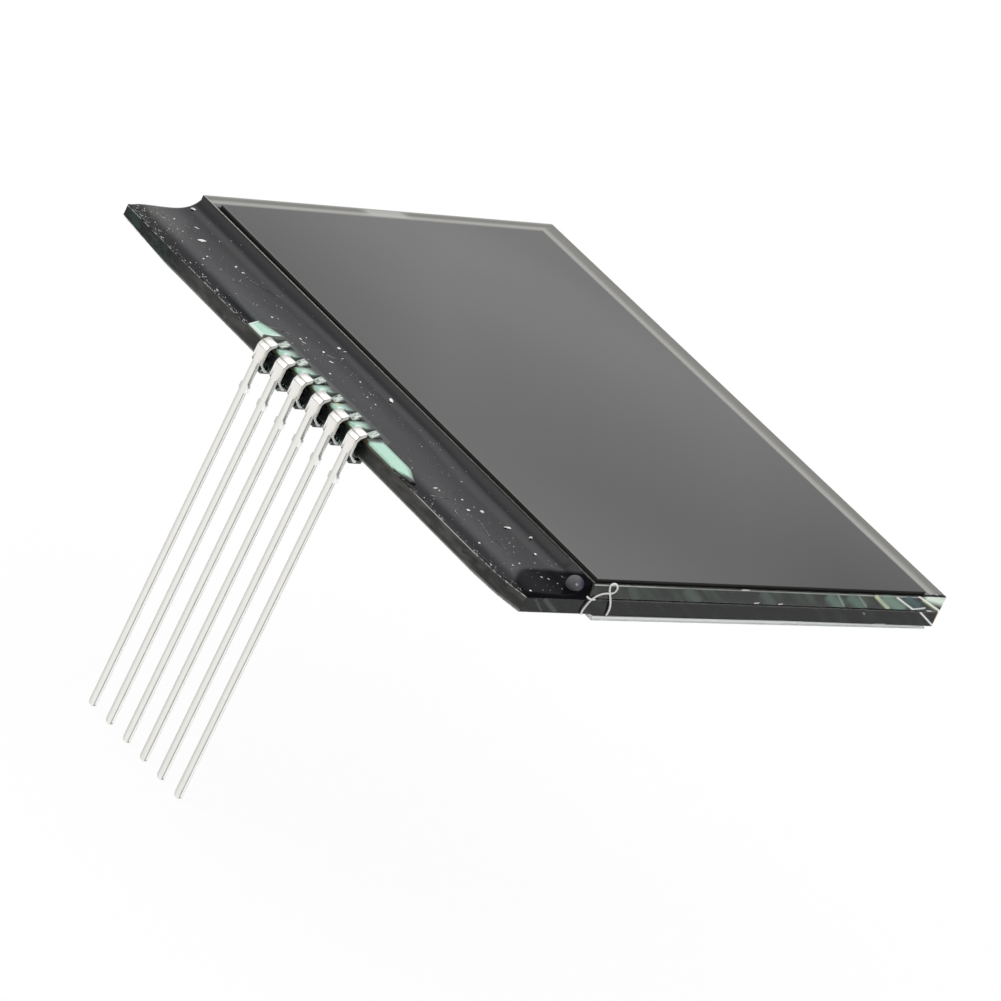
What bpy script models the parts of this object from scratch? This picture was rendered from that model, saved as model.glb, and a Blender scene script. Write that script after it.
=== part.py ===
"""A bare chip-on-glass display cell with six clip-on pins, in metres.

The drawing is made in the glass frame: its zero is the near corner of the front glass where the
contact ledge starts, on the viewing face. +X runs across the display away from the ledge, +Y along
the ledge, and +Z out of the viewing face. One empty then moves everything, so that the world origin
is the middle of the pin row at its shoulders, where the pins enter a board.
"""

import math

import bmesh
import bpy
from mathutils import Matrix, Vector

MM = 0.001

# The two glasses and the gap between them
FRONT_WIDTH = 30.6 * MM
LEDGE_WIDTH = 5.7 * MM
GLASS_LENGTH = 43.75 * MM
GLASS_THICKNESS = 1.1 * MM
GLASS_SEAM = 0.06 * MM  # the ground-off sharp edge
CELL_GAP = 0.05 * MM
GLUE_LINE = 0.01 * MM  # left between laminated faces
CUTTER_PAST = 1.0 * MM  # how far a cutter runs past what it cuts
FACE_STAGGER = 0.01 * MM  # keeps the faces of joined solids off one plane
SHARP_EDGE = math.radians(60)

FRONT_UNDERSIDE = -GLASS_THICKNESS
REAR_TOP = FRONT_UNDERSIDE - CELL_GAP
REAR_UNDERSIDE = REAR_TOP - GLASS_THICKNESS

# The front polariser, laid a little askew on the glass
FRONT_POLARISER = 0.2 * MM
STEP_INSET_NEAR = 0.62 * MM
STEP_INSET_FAR = 0.04 * MM
LONG_SIDE_INSET_NEAR = 1.92 * MM
LONG_SIDE_INSET_FAR = 2.34 * MM
NEAR_INSET = 0.13 * MM
FAR_INSET = 1.48 * MM

# The rear polariser and its cover film, turned slightly on the glass
REAR_POLARISER = 0.2 * MM
COVER_FILM = 0.08 * MM
COVER_FILM_OVERHANG = 0.05 * MM
REAR_SHEET_LEFT = 1.0 * MM
REAR_SHEET_RIGHT = 0.4 * MM
REAR_SHEET_NEAR = -0.1 * MM
REAR_SHEET_FAR = 0.45 * MM
REAR_SHEET_TURN = math.radians(0.7)

# Inside the cell
SEAL_INSET = 0.45 * MM
SEAL_WIDTH = 0.9 * MM
CELL_CLEARANCE = 0.1 * MM
PORT_CENTRE = 16.05 * MM
PORT_WIDTH = 2.2 * MM
PLUG_SMEAR_LENGTH = 4.5 * MM
PLUG_SMEAR_HEIGHT = 1.75 * MM
PLUG_SMEAR_RISE = 0.22 * MM
DOT_RADIUS = 0.4 * MM
DOT_INSET = 0.75 * MM  # from the seal's inner edges to the dot's centre

# The row of pins
PIN_COUNT = 6
PIN_PITCH = 2.0 * MM
PIN_ROW_OFFSET = 0.175 * MM  # of the row's middle, from the middle of the glass
STRIP = 0.25 * MM  # the sheet that the pins are stamped from
PLATE_WIDTH = 1.0 * MM
SHANK_WIDTH = 0.62 * MM
TOE_WIDTH = 0.55 * MM
TOE_ROOT_WIDTH = 0.63 * MM  # where the finger touches the glass
PLATE_STANDOFF = 0.8 * MM  # from the ledge's edge to the plate's outer face
PLATE_CREASE_RISE = 0.08 * MM  # above the rear glass
SLOPE_CREASE_RISE = 0.39 * MM
SLOPE_CREASE_IN = 0.2 * MM  # from the plate's outer face
CREST_RISE = 0.58 * MM
CREST_IN = 0.68 * MM
FINGER_REACH = 1.2 * MM  # from the ledge's edge to the end of the toe
FINGER_CONTACT = 0.6 * MM  # from the ledge's edge to where it touches the glass
TOE_RISE = 0.24 * MM
JAW_CONTACT = 0.7 * MM
JAW_REACH = 1.0 * MM
JAW_SLIT = 0.07 * MM
JAW_BEND = 0.75 * MM
JAW_SAG = 0.14 * MM  # how far the bend hangs below the contact
JAW_BEND_STEPS = 6
NOTCH_RISE = 0.4 * MM  # above the underside of the rear glass
SHOULDER_DROP = 1.72 * MM  # from that underside to the middle of the shoulder
SHOULDER_WIDTH = 0.84 * MM
SHOULDER_LENGTH = 0.36 * MM
SHOULDER_SLOPE = 0.1 * MM
PIN_REACH = 25.5 * MM  # from that underside to the tips
PIN_SPLAY = math.radians(0.89)
TIP_TAPER = 0.25 * MM
TIP_SHAPE = ((1.0, 1.0), (0.35, 0.8), (0.0, 0.45))  # shares of the taper's length and the width
STRIP_EDGE_ROUNDING = 0.06 * MM
SPRING_GAP = 0.01 * MM  # between a jaw or finger and the glass it grips

# The glue over the fingers, down the ledge's edge and over the jaws
GLUE_RISE = 0.3 * MM
GLUE_ROUNDING = 0.1 * MM
GLUE_OVERHANG = 0.14 * MM  # past the ledge's edge
GLUE_BACK = 1.85 * MM  # how far it runs in from the ledge's edge
GLUE_END_MARGIN = 0.85 * MM  # its full width, past the middle of each end pin
WEDGE_RUN = 2.9 * MM  # the wedge past the far end pin
WEDGE_WIDTH = 0.85 * MM
TONGUE_RUN = 5.3 * MM  # the tongue past the near end pin
TONGUE_WIDTH = 1.25 * MM
TONGUE_END = ((0.18, 0.04), (0.38, 0.0), (1.0, 0.29))  # shares of its width and its run
TONGUE_EDGE_START = 0.28  # share of its run where it leaves the ledge's edge
TONGUE_FULL_START = 0.5
TONGUE_NECK = 0.06
WEDGE_CORNER = 0.13  # share of its run where the outer side ends
WEDGE_SHOULDER = 0.25
GLUE_UNDER = 0.26 * MM  # its thickness under the glass
GLUE_UNDER_REACH = 1.3 * MM
GLUE_STEP_BACK = 0.02 * MM  # the skirt's face, behind the bead's
GLUE_BETWEEN_JAWS = 0.5 * MM
GLUE_STRIP_INSET = 0.07 * MM  # above the ledge's underside
GLUE_STRIP_DROP = 0.14 * MM  # below its top
SLOT_CLEARANCE = 0.04 * MM
TOE_CLEARANCE = 0.12 * MM

# The driver chip on the ledge
CHIP_LENGTH = 8.0 * MM
CHIP_WIDTH = 1.1 * MM
CHIP_THICKNESS = 0.2 * MM
CHIP_TO_GLUE = 1.0 * MM
BOND_FILM = 0.02 * MM
BOND_FILM_MARGIN = 0.1 * MM
CHIP_CLEARANCE = 0.03 * MM

# The protective coat on the ledge
COAT_CLEARANCE = 0.02 * MM
COAT_EDGE_GAP = 0.02 * MM
COAT_THINNEST = 0.06 * MM
COAT_RIM_RISE = 0.13 * MM
COAT_RIM_INSET = 1.0 * MM
COAT_RIM_SPREAD = 0.8 * MM
FILLET_RISE = 1.02 * MM
FILLET_REACH = 0.62 * MM
COAT_OVER_CHIP = 0.07 * MM
CHIP_MOUND_SLOPE = 1.9 * MM
POOL_RISE = 0.12 * MM
POOL_LENGTH = 2.8 * MM
POOL_LENGTH_AT_EDGE = 1.0 * MM
POOL_WIDENING = 3.1 * MM  # from the ledge's edge to where it has its full length
POOL_SLOPE = 0.5 * MM
DOME_INSET = 0.75 * MM
DOME_NEAR = 0.8 * MM
DOME_RADIUS = 0.7 * MM
DOME_RISE = 0.28 * MM
COAT_CELL_ACROSS = 0.26 * MM
COAT_CELL_ALONG = 0.51 * MM

# The breaks at the two ends of the ledge
NEAR_BREAK_LENGTH = 4.6 * MM
NEAR_BREAK_DEPTH = 0.65 * MM
NEAR_BREAK_SHAPE = ((1.1, -0.1), (1.0, 0.02), (0.36, 0.42), (0.11, 0.88), (-0.03, 1.0))  # shares of both
FAR_BREAK_LENGTH = 6.0 * MM
FAR_BREAK_HEIGHT = 0.4 * MM
FAR_BREAK_DEPTH = 0.5 * MM

LEDGE_EDGE = -LEDGE_WIDTH
CELL_FLOOR = REAR_TOP + GLUE_LINE
CELL_CEILING = FRONT_UNDERSIDE - GLUE_LINE
CHIP_X = LEDGE_EDGE + GLUE_BACK + CHIP_TO_GLUE + CHIP_WIDTH / 2
CHIP_POCKET_TOP = CELL_FLOOR + BOND_FILM + GLUE_LINE + CHIP_THICKNESS + CHIP_CLEARANCE
PLATE_FACE = LEDGE_EDGE - PLATE_STANDOFF
NOTCH_Z = REAR_UNDERSIDE + NOTCH_RISE
SHOULDER_Z = REAR_UNDERSIDE - SHOULDER_DROP
SHOULDER_FACE = PLATE_FACE - (NOTCH_Z - SHOULDER_Z) * math.tan(PIN_SPLAY)
PIN_ROW_Y = GLASS_LENGTH / 2 + PIN_ROW_OFFSET
PIN_YS = [PIN_ROW_Y + ((PIN_COUNT - 1) / 2 - i) * PIN_PITCH for i in range(PIN_COUNT)]
ROW_CENTRE = Vector((SHOULDER_FACE + STRIP / 2, PIN_ROW_Y, SHOULDER_Z))


def clear_scene():
    for obj in list(bpy.data.objects):
        bpy.data.objects.remove(obj, do_unlink=True)


def new_collection(name):
    made = bpy.data.collections.new(name)
    bpy.context.scene.collection.children.link(made)
    return made


def finish(name, colour, roughness, metallic=0.0, transmission=0.0):
    """A Principled material."""
    made = bpy.data.materials.new(name)
    made.use_nodes = True
    shader = made.node_tree.nodes["Principled BSDF"]
    shader.inputs["Base Color"].default_value = (*colour, 1.0)
    shader.inputs["Roughness"].default_value = roughness
    shader.inputs["Metallic"].default_value = metallic
    shader.inputs["Transmission Weight"].default_value = transmission
    return made


clear_scene()
PARTS = new_collection("lcd_screen")
CUTTERS = new_collection("cutters")
ROOT = bpy.data.objects.new("display_root", None)
PARTS.objects.link(ROOT)
ROOT.location = -ROW_CENTRE


def add_object(name, bm, material):
    """The bmesh as a named piece under the root."""
    mesh = bpy.data.meshes.new(name)
    bm.to_mesh(mesh)
    bm.free()
    obj = bpy.data.objects.new(name, mesh)
    obj.parent = ROOT
    PARTS.objects.link(obj)
    mesh.materials.append(material)
    return obj


def add_cutter(name, bm):
    """The bmesh as a hidden cutter under the root."""
    mesh = bpy.data.meshes.new(name)
    bm.to_mesh(mesh)
    bm.free()
    obj = bpy.data.objects.new(name, mesh)
    obj.parent = ROOT
    obj.hide_render = True
    obj.display_type = "WIRE"
    CUTTERS.objects.link(obj)
    return obj


def boolean(obj, cutter, operation, solver="EXACT"):
    modifier = obj.modifiers.new(cutter.name, "BOOLEAN")
    modifier.operation = operation
    modifier.solver = solver
    modifier.object = cutter


def box(low, high, bm=None):
    """A box between two corners, in a new bmesh or beside what one already holds."""
    low, high = Vector(low), Vector(high)
    bm = bm or bmesh.new()
    cube = bmesh.ops.create_cube(bm, size=1.0)["verts"]
    bmesh.ops.scale(bm, vec=high - low, verts=cube)
    bmesh.ops.translate(bm, vec=(low + high) / 2, verts=cube)
    return bm


def rectangle(low_x, low_y, high_x, high_y):
    return [(low_x, low_y), (high_x, low_y), (high_x, high_y), (low_x, high_y)]


def slab(outlines, bottom, top):
    """A flat sheet as a bmesh: filled outlines, extruded between two levels."""
    curve = bpy.data.curves.new("outline", "CURVE")
    curve.dimensions = "2D"
    curve.fill_mode = "BOTH"
    curve.extrude = (top - bottom) / 2
    for outline in outlines:
        spline = curve.splines.new("POLY")
        spline.points.add(len(outline) - 1)
        for point, (x, y) in zip(spline.points, outline):
            point.co = (x, y, 0.0, 1.0)
        spline.use_cyclic_u = True
    flat = bpy.data.objects.new("outline", curve)
    CUTTERS.objects.link(flat)
    bpy.context.view_layer.update()
    graph = bpy.context.evaluated_depsgraph_get()
    mesh = bpy.data.meshes.new_from_object(flat.evaluated_get(graph))
    bm = bmesh.new()
    bm.from_mesh(mesh)
    bpy.data.objects.remove(flat, do_unlink=True)
    bpy.data.curves.remove(curve)
    bpy.data.meshes.remove(mesh)
    bmesh.ops.remove_doubles(bm, verts=bm.verts, dist=1e-7)
    bmesh.ops.dissolve_limit(bm, angle_limit=1e-3, verts=bm.verts, edges=bm.edges)
    bmesh.ops.translate(bm, vec=(0.0, 0.0, (top + bottom) / 2), verts=bm.verts)
    bmesh.ops.recalc_face_normals(bm, faces=bm.faces)
    return bm


def seam(bm, width):
    """Takes the sharp edges off a glass plate."""
    bmesh.ops.bevel(
        bm, geom=bm.edges[:], offset=width, offset_type="OFFSET", segments=1, profile=0.5, affect="EDGES"
    )
    return bm


def grown(outline, distance):
    """The outline moved outwards by a distance, for a counter-clockwise list of points."""
    moved = []
    for i, point in enumerate(outline):
        before = Vector(point) - Vector(outline[i - 1])
        after = Vector(outline[(i + 1) % len(outline)]) - Vector(point)
        normals = [Vector((edge.y, -edge.x)).normalized() for edge in (before, after)]
        middle = (normals[0] + normals[1]).normalized()
        moved.append(tuple(Vector(point) + middle * distance / max(middle.dot(normals[0]), 0.5)))
    return moved


def smooth_step(value):
    value = min(max(value, 0.0), 1.0)
    return value * value * (3.0 - 2.0 * value)


def near_break():
    """What has broken off the near corner of the ledge, past its full height."""
    broken = [
        (LEDGE_EDGE + depth * NEAR_BREAK_DEPTH, along * NEAR_BREAK_LENGTH)
        for depth, along in NEAR_BREAK_SHAPE
    ]
    outside = LEDGE_EDGE - CUTTER_PAST
    outline = [(outside, broken[0][1]), *broken, (outside, NEAR_BREAK_LENGTH)]
    return slab([outline], REAR_UNDERSIDE - CUTTER_PAST, 0.0)


def far_break():
    """The chipped lower corner at the far end of the ledge: a wedge across its two lower edges."""
    start = Vector((LEDGE_EDGE, GLASS_LENGTH - FAR_BREAK_LENGTH, REAR_UNDERSIDE))
    side = Vector((LEDGE_EDGE, GLASS_LENGTH, REAR_UNDERSIDE + FAR_BREAK_HEIGHT))
    under = Vector((LEDGE_EDGE + FAR_BREAK_DEPTH, GLASS_LENGTH, REAR_UNDERSIDE))
    normal = (side - start).cross(under - start).normalized()
    if normal.z > 0.0:
        normal.negate()
    size = 2.0 * FAR_BREAK_LENGTH
    bm = bmesh.new()
    bmesh.ops.create_cube(bm, size=size)
    turn = normal.to_track_quat("Z", "Y").to_matrix().to_4x4()
    place = Matrix.Translation((start + side + under) / 3 + normal * size / 2)
    bmesh.ops.transform(bm, matrix=place @ turn, verts=bm.verts)
    return bm


def make_glass():
    clear = finish("glass", (0.84, 0.91, 0.87), 0.03, 0.0, 0.9)
    front = box((0.0, 0.0, FRONT_UNDERSIDE), (FRONT_WIDTH, GLASS_LENGTH, 0.0))
    add_object("front_glass", seam(front, GLASS_SEAM), clear)
    rear = box((LEDGE_EDGE, 0.0, REAR_UNDERSIDE), (FRONT_WIDTH, GLASS_LENGTH, REAR_TOP))
    rear = add_object("rear_glass", seam(rear, GLASS_SEAM), clear)
    boolean(rear, NEAR_BREAK, "DIFFERENCE")
    boolean(rear, FAR_BREAK, "DIFFERENCE")


def make_front_polariser():
    outline = [
        (STEP_INSET_NEAR, NEAR_INSET),
        (FRONT_WIDTH - LONG_SIDE_INSET_NEAR, NEAR_INSET),
        (FRONT_WIDTH - LONG_SIDE_INSET_FAR, GLASS_LENGTH - FAR_INSET),
        (STEP_INSET_FAR, GLASS_LENGTH - FAR_INSET),
    ]
    sheet = slab([outline], GLUE_LINE, FRONT_POLARISER)
    add_object("front_polariser", sheet, finish("front_polariser", (0.15, 0.15, 0.15), 0.35))


def rear_outline(margin):
    """The rear sheets' outline, turned about its near corner."""
    turn = Matrix.Rotation(REAR_SHEET_TURN, 2)
    corner = Vector((REAR_SHEET_LEFT, REAR_SHEET_NEAR))
    straight = rectangle(
        -margin,
        -margin,
        FRONT_WIDTH - REAR_SHEET_LEFT - REAR_SHEET_RIGHT + margin,
        GLASS_LENGTH - REAR_SHEET_NEAR - REAR_SHEET_FAR + margin,
    )
    return [tuple(corner + turn @ Vector(point)) for point in straight]


def make_rear_sheets():
    top = REAR_UNDERSIDE - GLUE_LINE
    bottom = REAR_UNDERSIDE - REAR_POLARISER
    sheet = slab([rear_outline(0.0)], bottom, top)
    add_object("rear_polariser", sheet, finish("rear_polariser", (0.45, 0.46, 0.46), 0.3))
    film_top = bottom - GLUE_LINE
    film = slab([rear_outline(COVER_FILM_OVERHANG)], film_top - COVER_FILM, film_top)
    clear = finish("rear_protective_film", (0.9, 0.93, 0.93), 0.15, 0.0, 0.7)
    add_object("rear_protective_film", film, clear)


def seal_edge(inset):
    return rectangle(inset, inset, FRONT_WIDTH - inset, GLASS_LENGTH - inset)


def dot_places():
    inset = SEAL_INSET + SEAL_WIDTH + DOT_INSET
    return {"near": (inset, inset), "far": (inset, GLASS_LENGTH - inset)}


def disc(centre, radius, bottom, top):
    bm = bmesh.new()
    bmesh.ops.create_cone(
        bm, cap_ends=True, segments=24, radius1=radius, radius2=radius, depth=top - bottom
    )
    bmesh.ops.translate(bm, vec=(*centre, (top + bottom) / 2), verts=bm.verts)
    return bm


def make_cell_filling():
    ring = slab([seal_edge(SEAL_INSET), seal_edge(SEAL_INSET + SEAL_WIDTH)], CELL_FLOOR, CELL_CEILING)
    ring = add_object("perimeter_seal", ring, finish("perimeter_seal", (0.75, 0.74, 0.68), 0.5))
    port = box(
        (PORT_CENTRE - PORT_WIDTH / 2, GLASS_LENGTH - SEAL_INSET - SEAL_WIDTH - CUTTER_PAST, REAR_TOP),
        (PORT_CENTRE + PORT_WIDTH / 2, GLASS_LENGTH + CUTTER_PAST, FRONT_UNDERSIDE),
    )
    boolean(ring, add_cutter("port_cutter", port), "DIFFERENCE")

    inside = seal_edge(SEAL_INSET + SEAL_WIDTH + CELL_CLEARANCE)
    crystal = slab([inside], CELL_FLOOR, CELL_CEILING)
    fluid = finish("liquid_crystal", (0.3, 0.31, 0.3), 0.2, 0.0, 0.4)
    crystal = add_object("liquid_crystal", crystal, fluid)
    silver = finish("crossover_dot", (0.7, 0.69, 0.66), 0.45, 0.8)
    for end, centre in dot_places().items():
        add_object(f"crossover_dot_{end}", disc(centre, DOT_RADIUS, CELL_FLOOR, CELL_CEILING), silver)
        hole = disc(centre, DOT_RADIUS + CELL_CLEARANCE, REAR_TOP, FRONT_UNDERSIDE)
        boolean(crystal, add_cutter(f"dot_hole_{end}", hole), "DIFFERENCE")


def make_port_plug():
    """A flat drop of resin over the port on the far edge, with a tongue into the port."""
    face = GLASS_LENGTH + GLUE_LINE
    bm = bmesh.new()
    bmesh.ops.create_uvsphere(bm, u_segments=24, v_segments=12, radius=1.0)
    bmesh.ops.scale(bm, vec=(PLUG_SMEAR_LENGTH / 2, PLUG_SMEAR_RISE, PLUG_SMEAR_HEIGHT / 2), verts=bm.verts)
    bmesh.ops.translate(bm, vec=(PORT_CENTRE, face, (REAR_TOP + FRONT_UNDERSIDE) / 2), verts=bm.verts)
    cut = bmesh.ops.bisect_plane(
        bm,
        geom=bm.verts[:] + bm.edges[:] + bm.faces[:],
        dist=GLUE_LINE / 10,
        plane_co=(0.0, face, 0.0),
        plane_no=(0.0, 1.0, 0.0),
        clear_inner=True,
    )
    rim = [part for part in cut["geom_cut"] if isinstance(part, bmesh.types.BMEdge)]
    bmesh.ops.holes_fill(bm, edges=rim)
    bmesh.ops.recalc_face_normals(bm, faces=bm.faces)
    plug = add_object("fill_port_plug", bm, finish("fill_port_plug", (0.8, 0.82, 0.76), 0.25, 0.0, 0.5))
    tongue = box(
        (PORT_CENTRE - PORT_WIDTH / 2 + CELL_CLEARANCE, GLASS_LENGTH - SEAL_INSET - SEAL_WIDTH, CELL_FLOOR),
        (PORT_CENTRE + PORT_WIDTH / 2 - CELL_CLEARANCE, face + PLUG_SMEAR_RISE / 2, CELL_CEILING),
    )
    boolean(plug, add_cutter("plug_tongue", tongue), "UNION", "MANIFOLD")


def make_driver_chip():
    film_top = CELL_FLOOR + BOND_FILM
    half_width = CHIP_WIDTH / 2
    half_length = CHIP_LENGTH / 2
    film = box(
        (CHIP_X - half_width - BOND_FILM_MARGIN, PIN_ROW_Y - half_length - BOND_FILM_MARGIN, CELL_FLOOR),
        (CHIP_X + half_width + BOND_FILM_MARGIN, PIN_ROW_Y + half_length + BOND_FILM_MARGIN, film_top),
    )
    add_object("chip_bonding_film", film, finish("chip_bonding_film", (0.6, 0.5, 0.3), 0.5))
    chip = box(
        (CHIP_X - half_width, PIN_ROW_Y - half_length, film_top + GLUE_LINE),
        (CHIP_X + half_width, PIN_ROW_Y + half_length, film_top + GLUE_LINE + CHIP_THICKNESS),
    )
    add_object("driver_chip", chip, finish("driver_chip", (0.2, 0.2, 0.22), 0.25, 0.6))
    gap = BOND_FILM_MARGIN + CHIP_CLEARANCE
    pocket = box(
        (CHIP_X - half_width - gap, PIN_ROW_Y - half_length - gap, REAR_TOP - CUTTER_PAST),
        (CHIP_X + half_width + gap, PIN_ROW_Y + half_length + gap, CHIP_POCKET_TOP),
    )
    return add_cutter("chip_pocket", pocket)


def pool_edge(x):
    """How far the glossy pool at the near end reaches along the ledge."""
    share = smooth_step((x - LEDGE_EDGE) / POOL_WIDENING)
    return POOL_LENGTH_AT_EDGE + share * (POOL_LENGTH - POOL_LENGTH_AT_EDGE)


def coat_level(x, y):
    """The level of the coat's top: a rim, a thin middle, a fillet up the step, and what lies under it."""
    outer = x - LEDGE_EDGE - COAT_RIM_INSET
    level = COAT_THINNEST + COAT_RIM_RISE * math.exp(-((outer / COAT_RIM_SPREAD) ** 2))
    level += FILLET_RISE * math.exp(x / FILLET_REACH)
    mound = CHIP_POCKET_TOP + COAT_OVER_CHIP - REAR_TOP
    over_x = 1.0 - (abs(x - CHIP_X) - CHIP_WIDTH / 2) / CHIP_MOUND_SLOPE
    over_y = 1.0 - (abs(y - PIN_ROW_Y) - CHIP_LENGTH / 2) / CHIP_MOUND_SLOPE
    lift = smooth_step(over_x) * smooth_step(over_y)
    level = max(level, level + (mound - level) * lift)
    level += POOL_RISE * smooth_step((pool_edge(x) - y) / POOL_SLOPE)
    away = math.hypot(x + DOME_INSET, y - DOME_NEAR) / DOME_RADIUS
    level += DOME_RISE * math.sqrt(max(1.0 - away * away, 0.0))
    return min(REAR_TOP + level, -GLASS_SEAM)


def glue_outline():
    """The bead's outline, counter-clockwise: a wedge past the far end pin, a tongue past the near one."""
    edge = LEDGE_EDGE - GLUE_OVERHANG
    back = LEDGE_EDGE + GLUE_BACK
    tongue = LEDGE_EDGE + TONGUE_WIDTH
    wedge = LEDGE_EDGE + WEDGE_WIDTH
    wedge_start = PIN_YS[0] + GLUE_END_MARGIN
    wedge_end = PIN_YS[0] + WEDGE_RUN
    tongue_start = PIN_YS[-1] - GLUE_END_MARGIN
    tongue_end = PIN_YS[-1] - TONGUE_RUN
    rounded = [(LEDGE_EDGE + x * TONGUE_WIDTH, tongue_end + y * TONGUE_RUN) for x, y in TONGUE_END]
    return [
        (edge, tongue_end + TONGUE_FULL_START * TONGUE_RUN),
        (LEDGE_EDGE, tongue_end + TONGUE_EDGE_START * TONGUE_RUN),
        *rounded,
        (tongue, tongue_start - TONGUE_NECK * TONGUE_RUN),
        (back, tongue_start),
        (back, wedge_start),
        ((back + wedge) / 2, wedge_end - WEDGE_SHOULDER * WEDGE_RUN),
        (wedge, wedge_end),
        (edge, wedge_end - WEDGE_CORNER * WEDGE_RUN),
    ]


def finger_slots():
    """One gap through the bead for each finger."""
    half = PLATE_WIDTH / 2 + SLOT_CLEARANCE
    slots = bmesh.new()
    for y in PIN_YS:
        low = (PLATE_FACE - CUTTER_PAST, y - half, REAR_TOP - CUTTER_PAST)
        high = (LEDGE_EDGE + FINGER_REACH + TOE_CLEARANCE, y + half, CUTTER_PAST)
        box(low, high, slots)
    return slots


def glue_section(outer, top, thickness, reach):
    """A C round the ledge's lower edge, up its face to one level and under the glass to a reach."""
    inner = LEDGE_EDGE - GLUE_LINE
    ceiling = REAR_UNDERSIDE - GLUE_LINE
    floor = ceiling - thickness
    return [
        (outer, floor + GLUE_ROUNDING),
        (outer + GLUE_ROUNDING, floor),
        (reach - GLUE_ROUNDING, floor),
        (reach, ceiling),
        (inner, ceiling),
        (inner, top),
        (outer, top),
    ]


def section_pieces(section, half, places):
    """The section run from -half to half along the ledge, at each place."""
    pieces = bmesh.new()
    for y in places:
        piece = slab([section], -half, half)
        turn = Matrix.Translation((0.0, y, 0.0)) @ Matrix.Rotation(math.pi / 2, 4, "X")
        bmesh.ops.transform(piece, matrix=turn, verts=piece.verts)
        mesh = bpy.data.meshes.new("piece")
        piece.to_mesh(mesh)
        piece.free()
        pieces.from_mesh(mesh)
        bpy.data.meshes.remove(mesh)
    return pieces


def glue_skirts():
    """The glue that runs down the ledge's edge and under the glass between each two pins."""
    outer = LEDGE_EDGE - GLUE_OVERHANG + GLUE_STEP_BACK
    section = glue_section(outer, REAR_TOP + GLUE_RISE / 2, GLUE_UNDER, LEDGE_EDGE + GLUE_UNDER_REACH)
    middles = [(far + near) / 2 for far, near in zip(PIN_YS, PIN_YS[1:])]
    return section_pieces(section, (PIN_PITCH - PLATE_WIDTH) / 2 - SLOT_CLEARANCE - FACE_STAGGER, middles)


def glue_behind_plates():
    """The glue between each plate and the glass, down to between the two jaws."""
    outer = PLATE_FACE + STRIP + SLOT_CLEARANCE * 2
    section = glue_section(outer, NOTCH_Z, GLUE_BETWEEN_JAWS, LEDGE_EDGE + JAW_CONTACT)
    return section_pieces(section, SHANK_WIDTH / 2 + JAW_SLIT - SLOT_CLEARANCE, PIN_YS)


def glue_strip():
    """A thin skin on the ledge's edge that joins them all behind the plates."""
    outer = LEDGE_EDGE - GLUE_OVERHANG + GLUE_STEP_BACK + FACE_STAGGER
    inner = LEDGE_EDGE - GLUE_LINE - FACE_STAGGER
    end = GLUE_END_MARGIN / 2
    return box(
        (outer, PIN_YS[-1] - end, REAR_UNDERSIDE + GLUE_STRIP_INSET),
        (inner, PIN_YS[0] + end, REAR_TOP - GLUE_STRIP_DROP),
    )


def make_adhesive():
    """A bead on the ledge with a gap for each finger, and what runs down the edge round the pins."""
    bead = slab([glue_outline()], CELL_FLOOR, REAR_TOP + GLUE_RISE)
    middle = REAR_TOP + GLUE_RISE / 2
    sharp = [edge for edge in bead.edges if edge.calc_face_angle(0.0) > SHARP_EDGE]
    top_rim = [edge for edge in sharp if all(vert.co.z > middle for vert in edge.verts)]
    bmesh.ops.bevel(
        bead,
        geom=top_rim,
        offset=GLUE_ROUNDING,
        offset_type="OFFSET",
        segments=2,
        profile=0.5,
        affect="EDGES",
    )
    bead = add_object("pin_adhesive", bead, finish("pin_adhesive", (0.5, 0.75, 0.62), 0.3))
    boolean(bead, add_cutter("finger_slots", finger_slots()), "DIFFERENCE", "MANIFOLD")
    for name, added in (
        ("glue_skirts", glue_skirts()),
        ("glue_strip", glue_strip()),
        ("glue_behind_plates", glue_behind_plates()),
    ):
        boolean(bead, add_cutter(name, added), "UNION", "MANIFOLD")


def make_coating(chip_pocket):
    """A grid laid over the ledge and lifted to the coat's level, closed down to a flat underside."""
    low_x = LEDGE_EDGE + COAT_EDGE_GAP
    high_x = -COAT_CLEARANCE
    columns = round((high_x - low_x) / COAT_CELL_ACROSS)
    rows = round(GLASS_LENGTH / COAT_CELL_ALONG)
    bm = bmesh.new()
    bmesh.ops.create_grid(bm, x_segments=columns, y_segments=rows, size=0.5)
    bmesh.ops.scale(bm, vec=(high_x - low_x, GLASS_LENGTH, 1.0), verts=bm.verts)
    bmesh.ops.translate(bm, vec=((high_x + low_x) / 2, GLASS_LENGTH / 2, 0.0), verts=bm.verts)
    top = bm.verts[:]
    floor = bmesh.ops.extrude_face_region(bm, geom=bm.faces[:])["geom"]
    for vert in top:
        vert.co.z = CELL_FLOOR
    for vert in floor:
        if isinstance(vert, bmesh.types.BMVert):
            vert.co.z = coat_level(vert.co.x, vert.co.y)
    bmesh.ops.recalc_face_normals(bm, faces=bm.faces)
    flat = [face for face in bm.faces if all(vert.co.z == CELL_FLOOR for vert in face.verts)]
    edges = {edge for face in flat for edge in face.edges}
    bmesh.ops.dissolve_limit(bm, angle_limit=1e-3, verts=top, edges=list(edges))
    coat = add_object("ledge_coating", bm, finish("ledge_coating", (0.03, 0.03, 0.03), 0.2))
    boolean(coat, chip_pocket, "DIFFERENCE")
    notch = slab([grown(glue_outline(), COAT_CLEARANCE)], REAR_TOP - CUTTER_PAST, CUTTER_PAST)
    boolean(coat, add_cutter("glue_notch", notch), "DIFFERENCE")
    boolean(coat, NEAR_BREAK, "DIFFERENCE")


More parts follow.
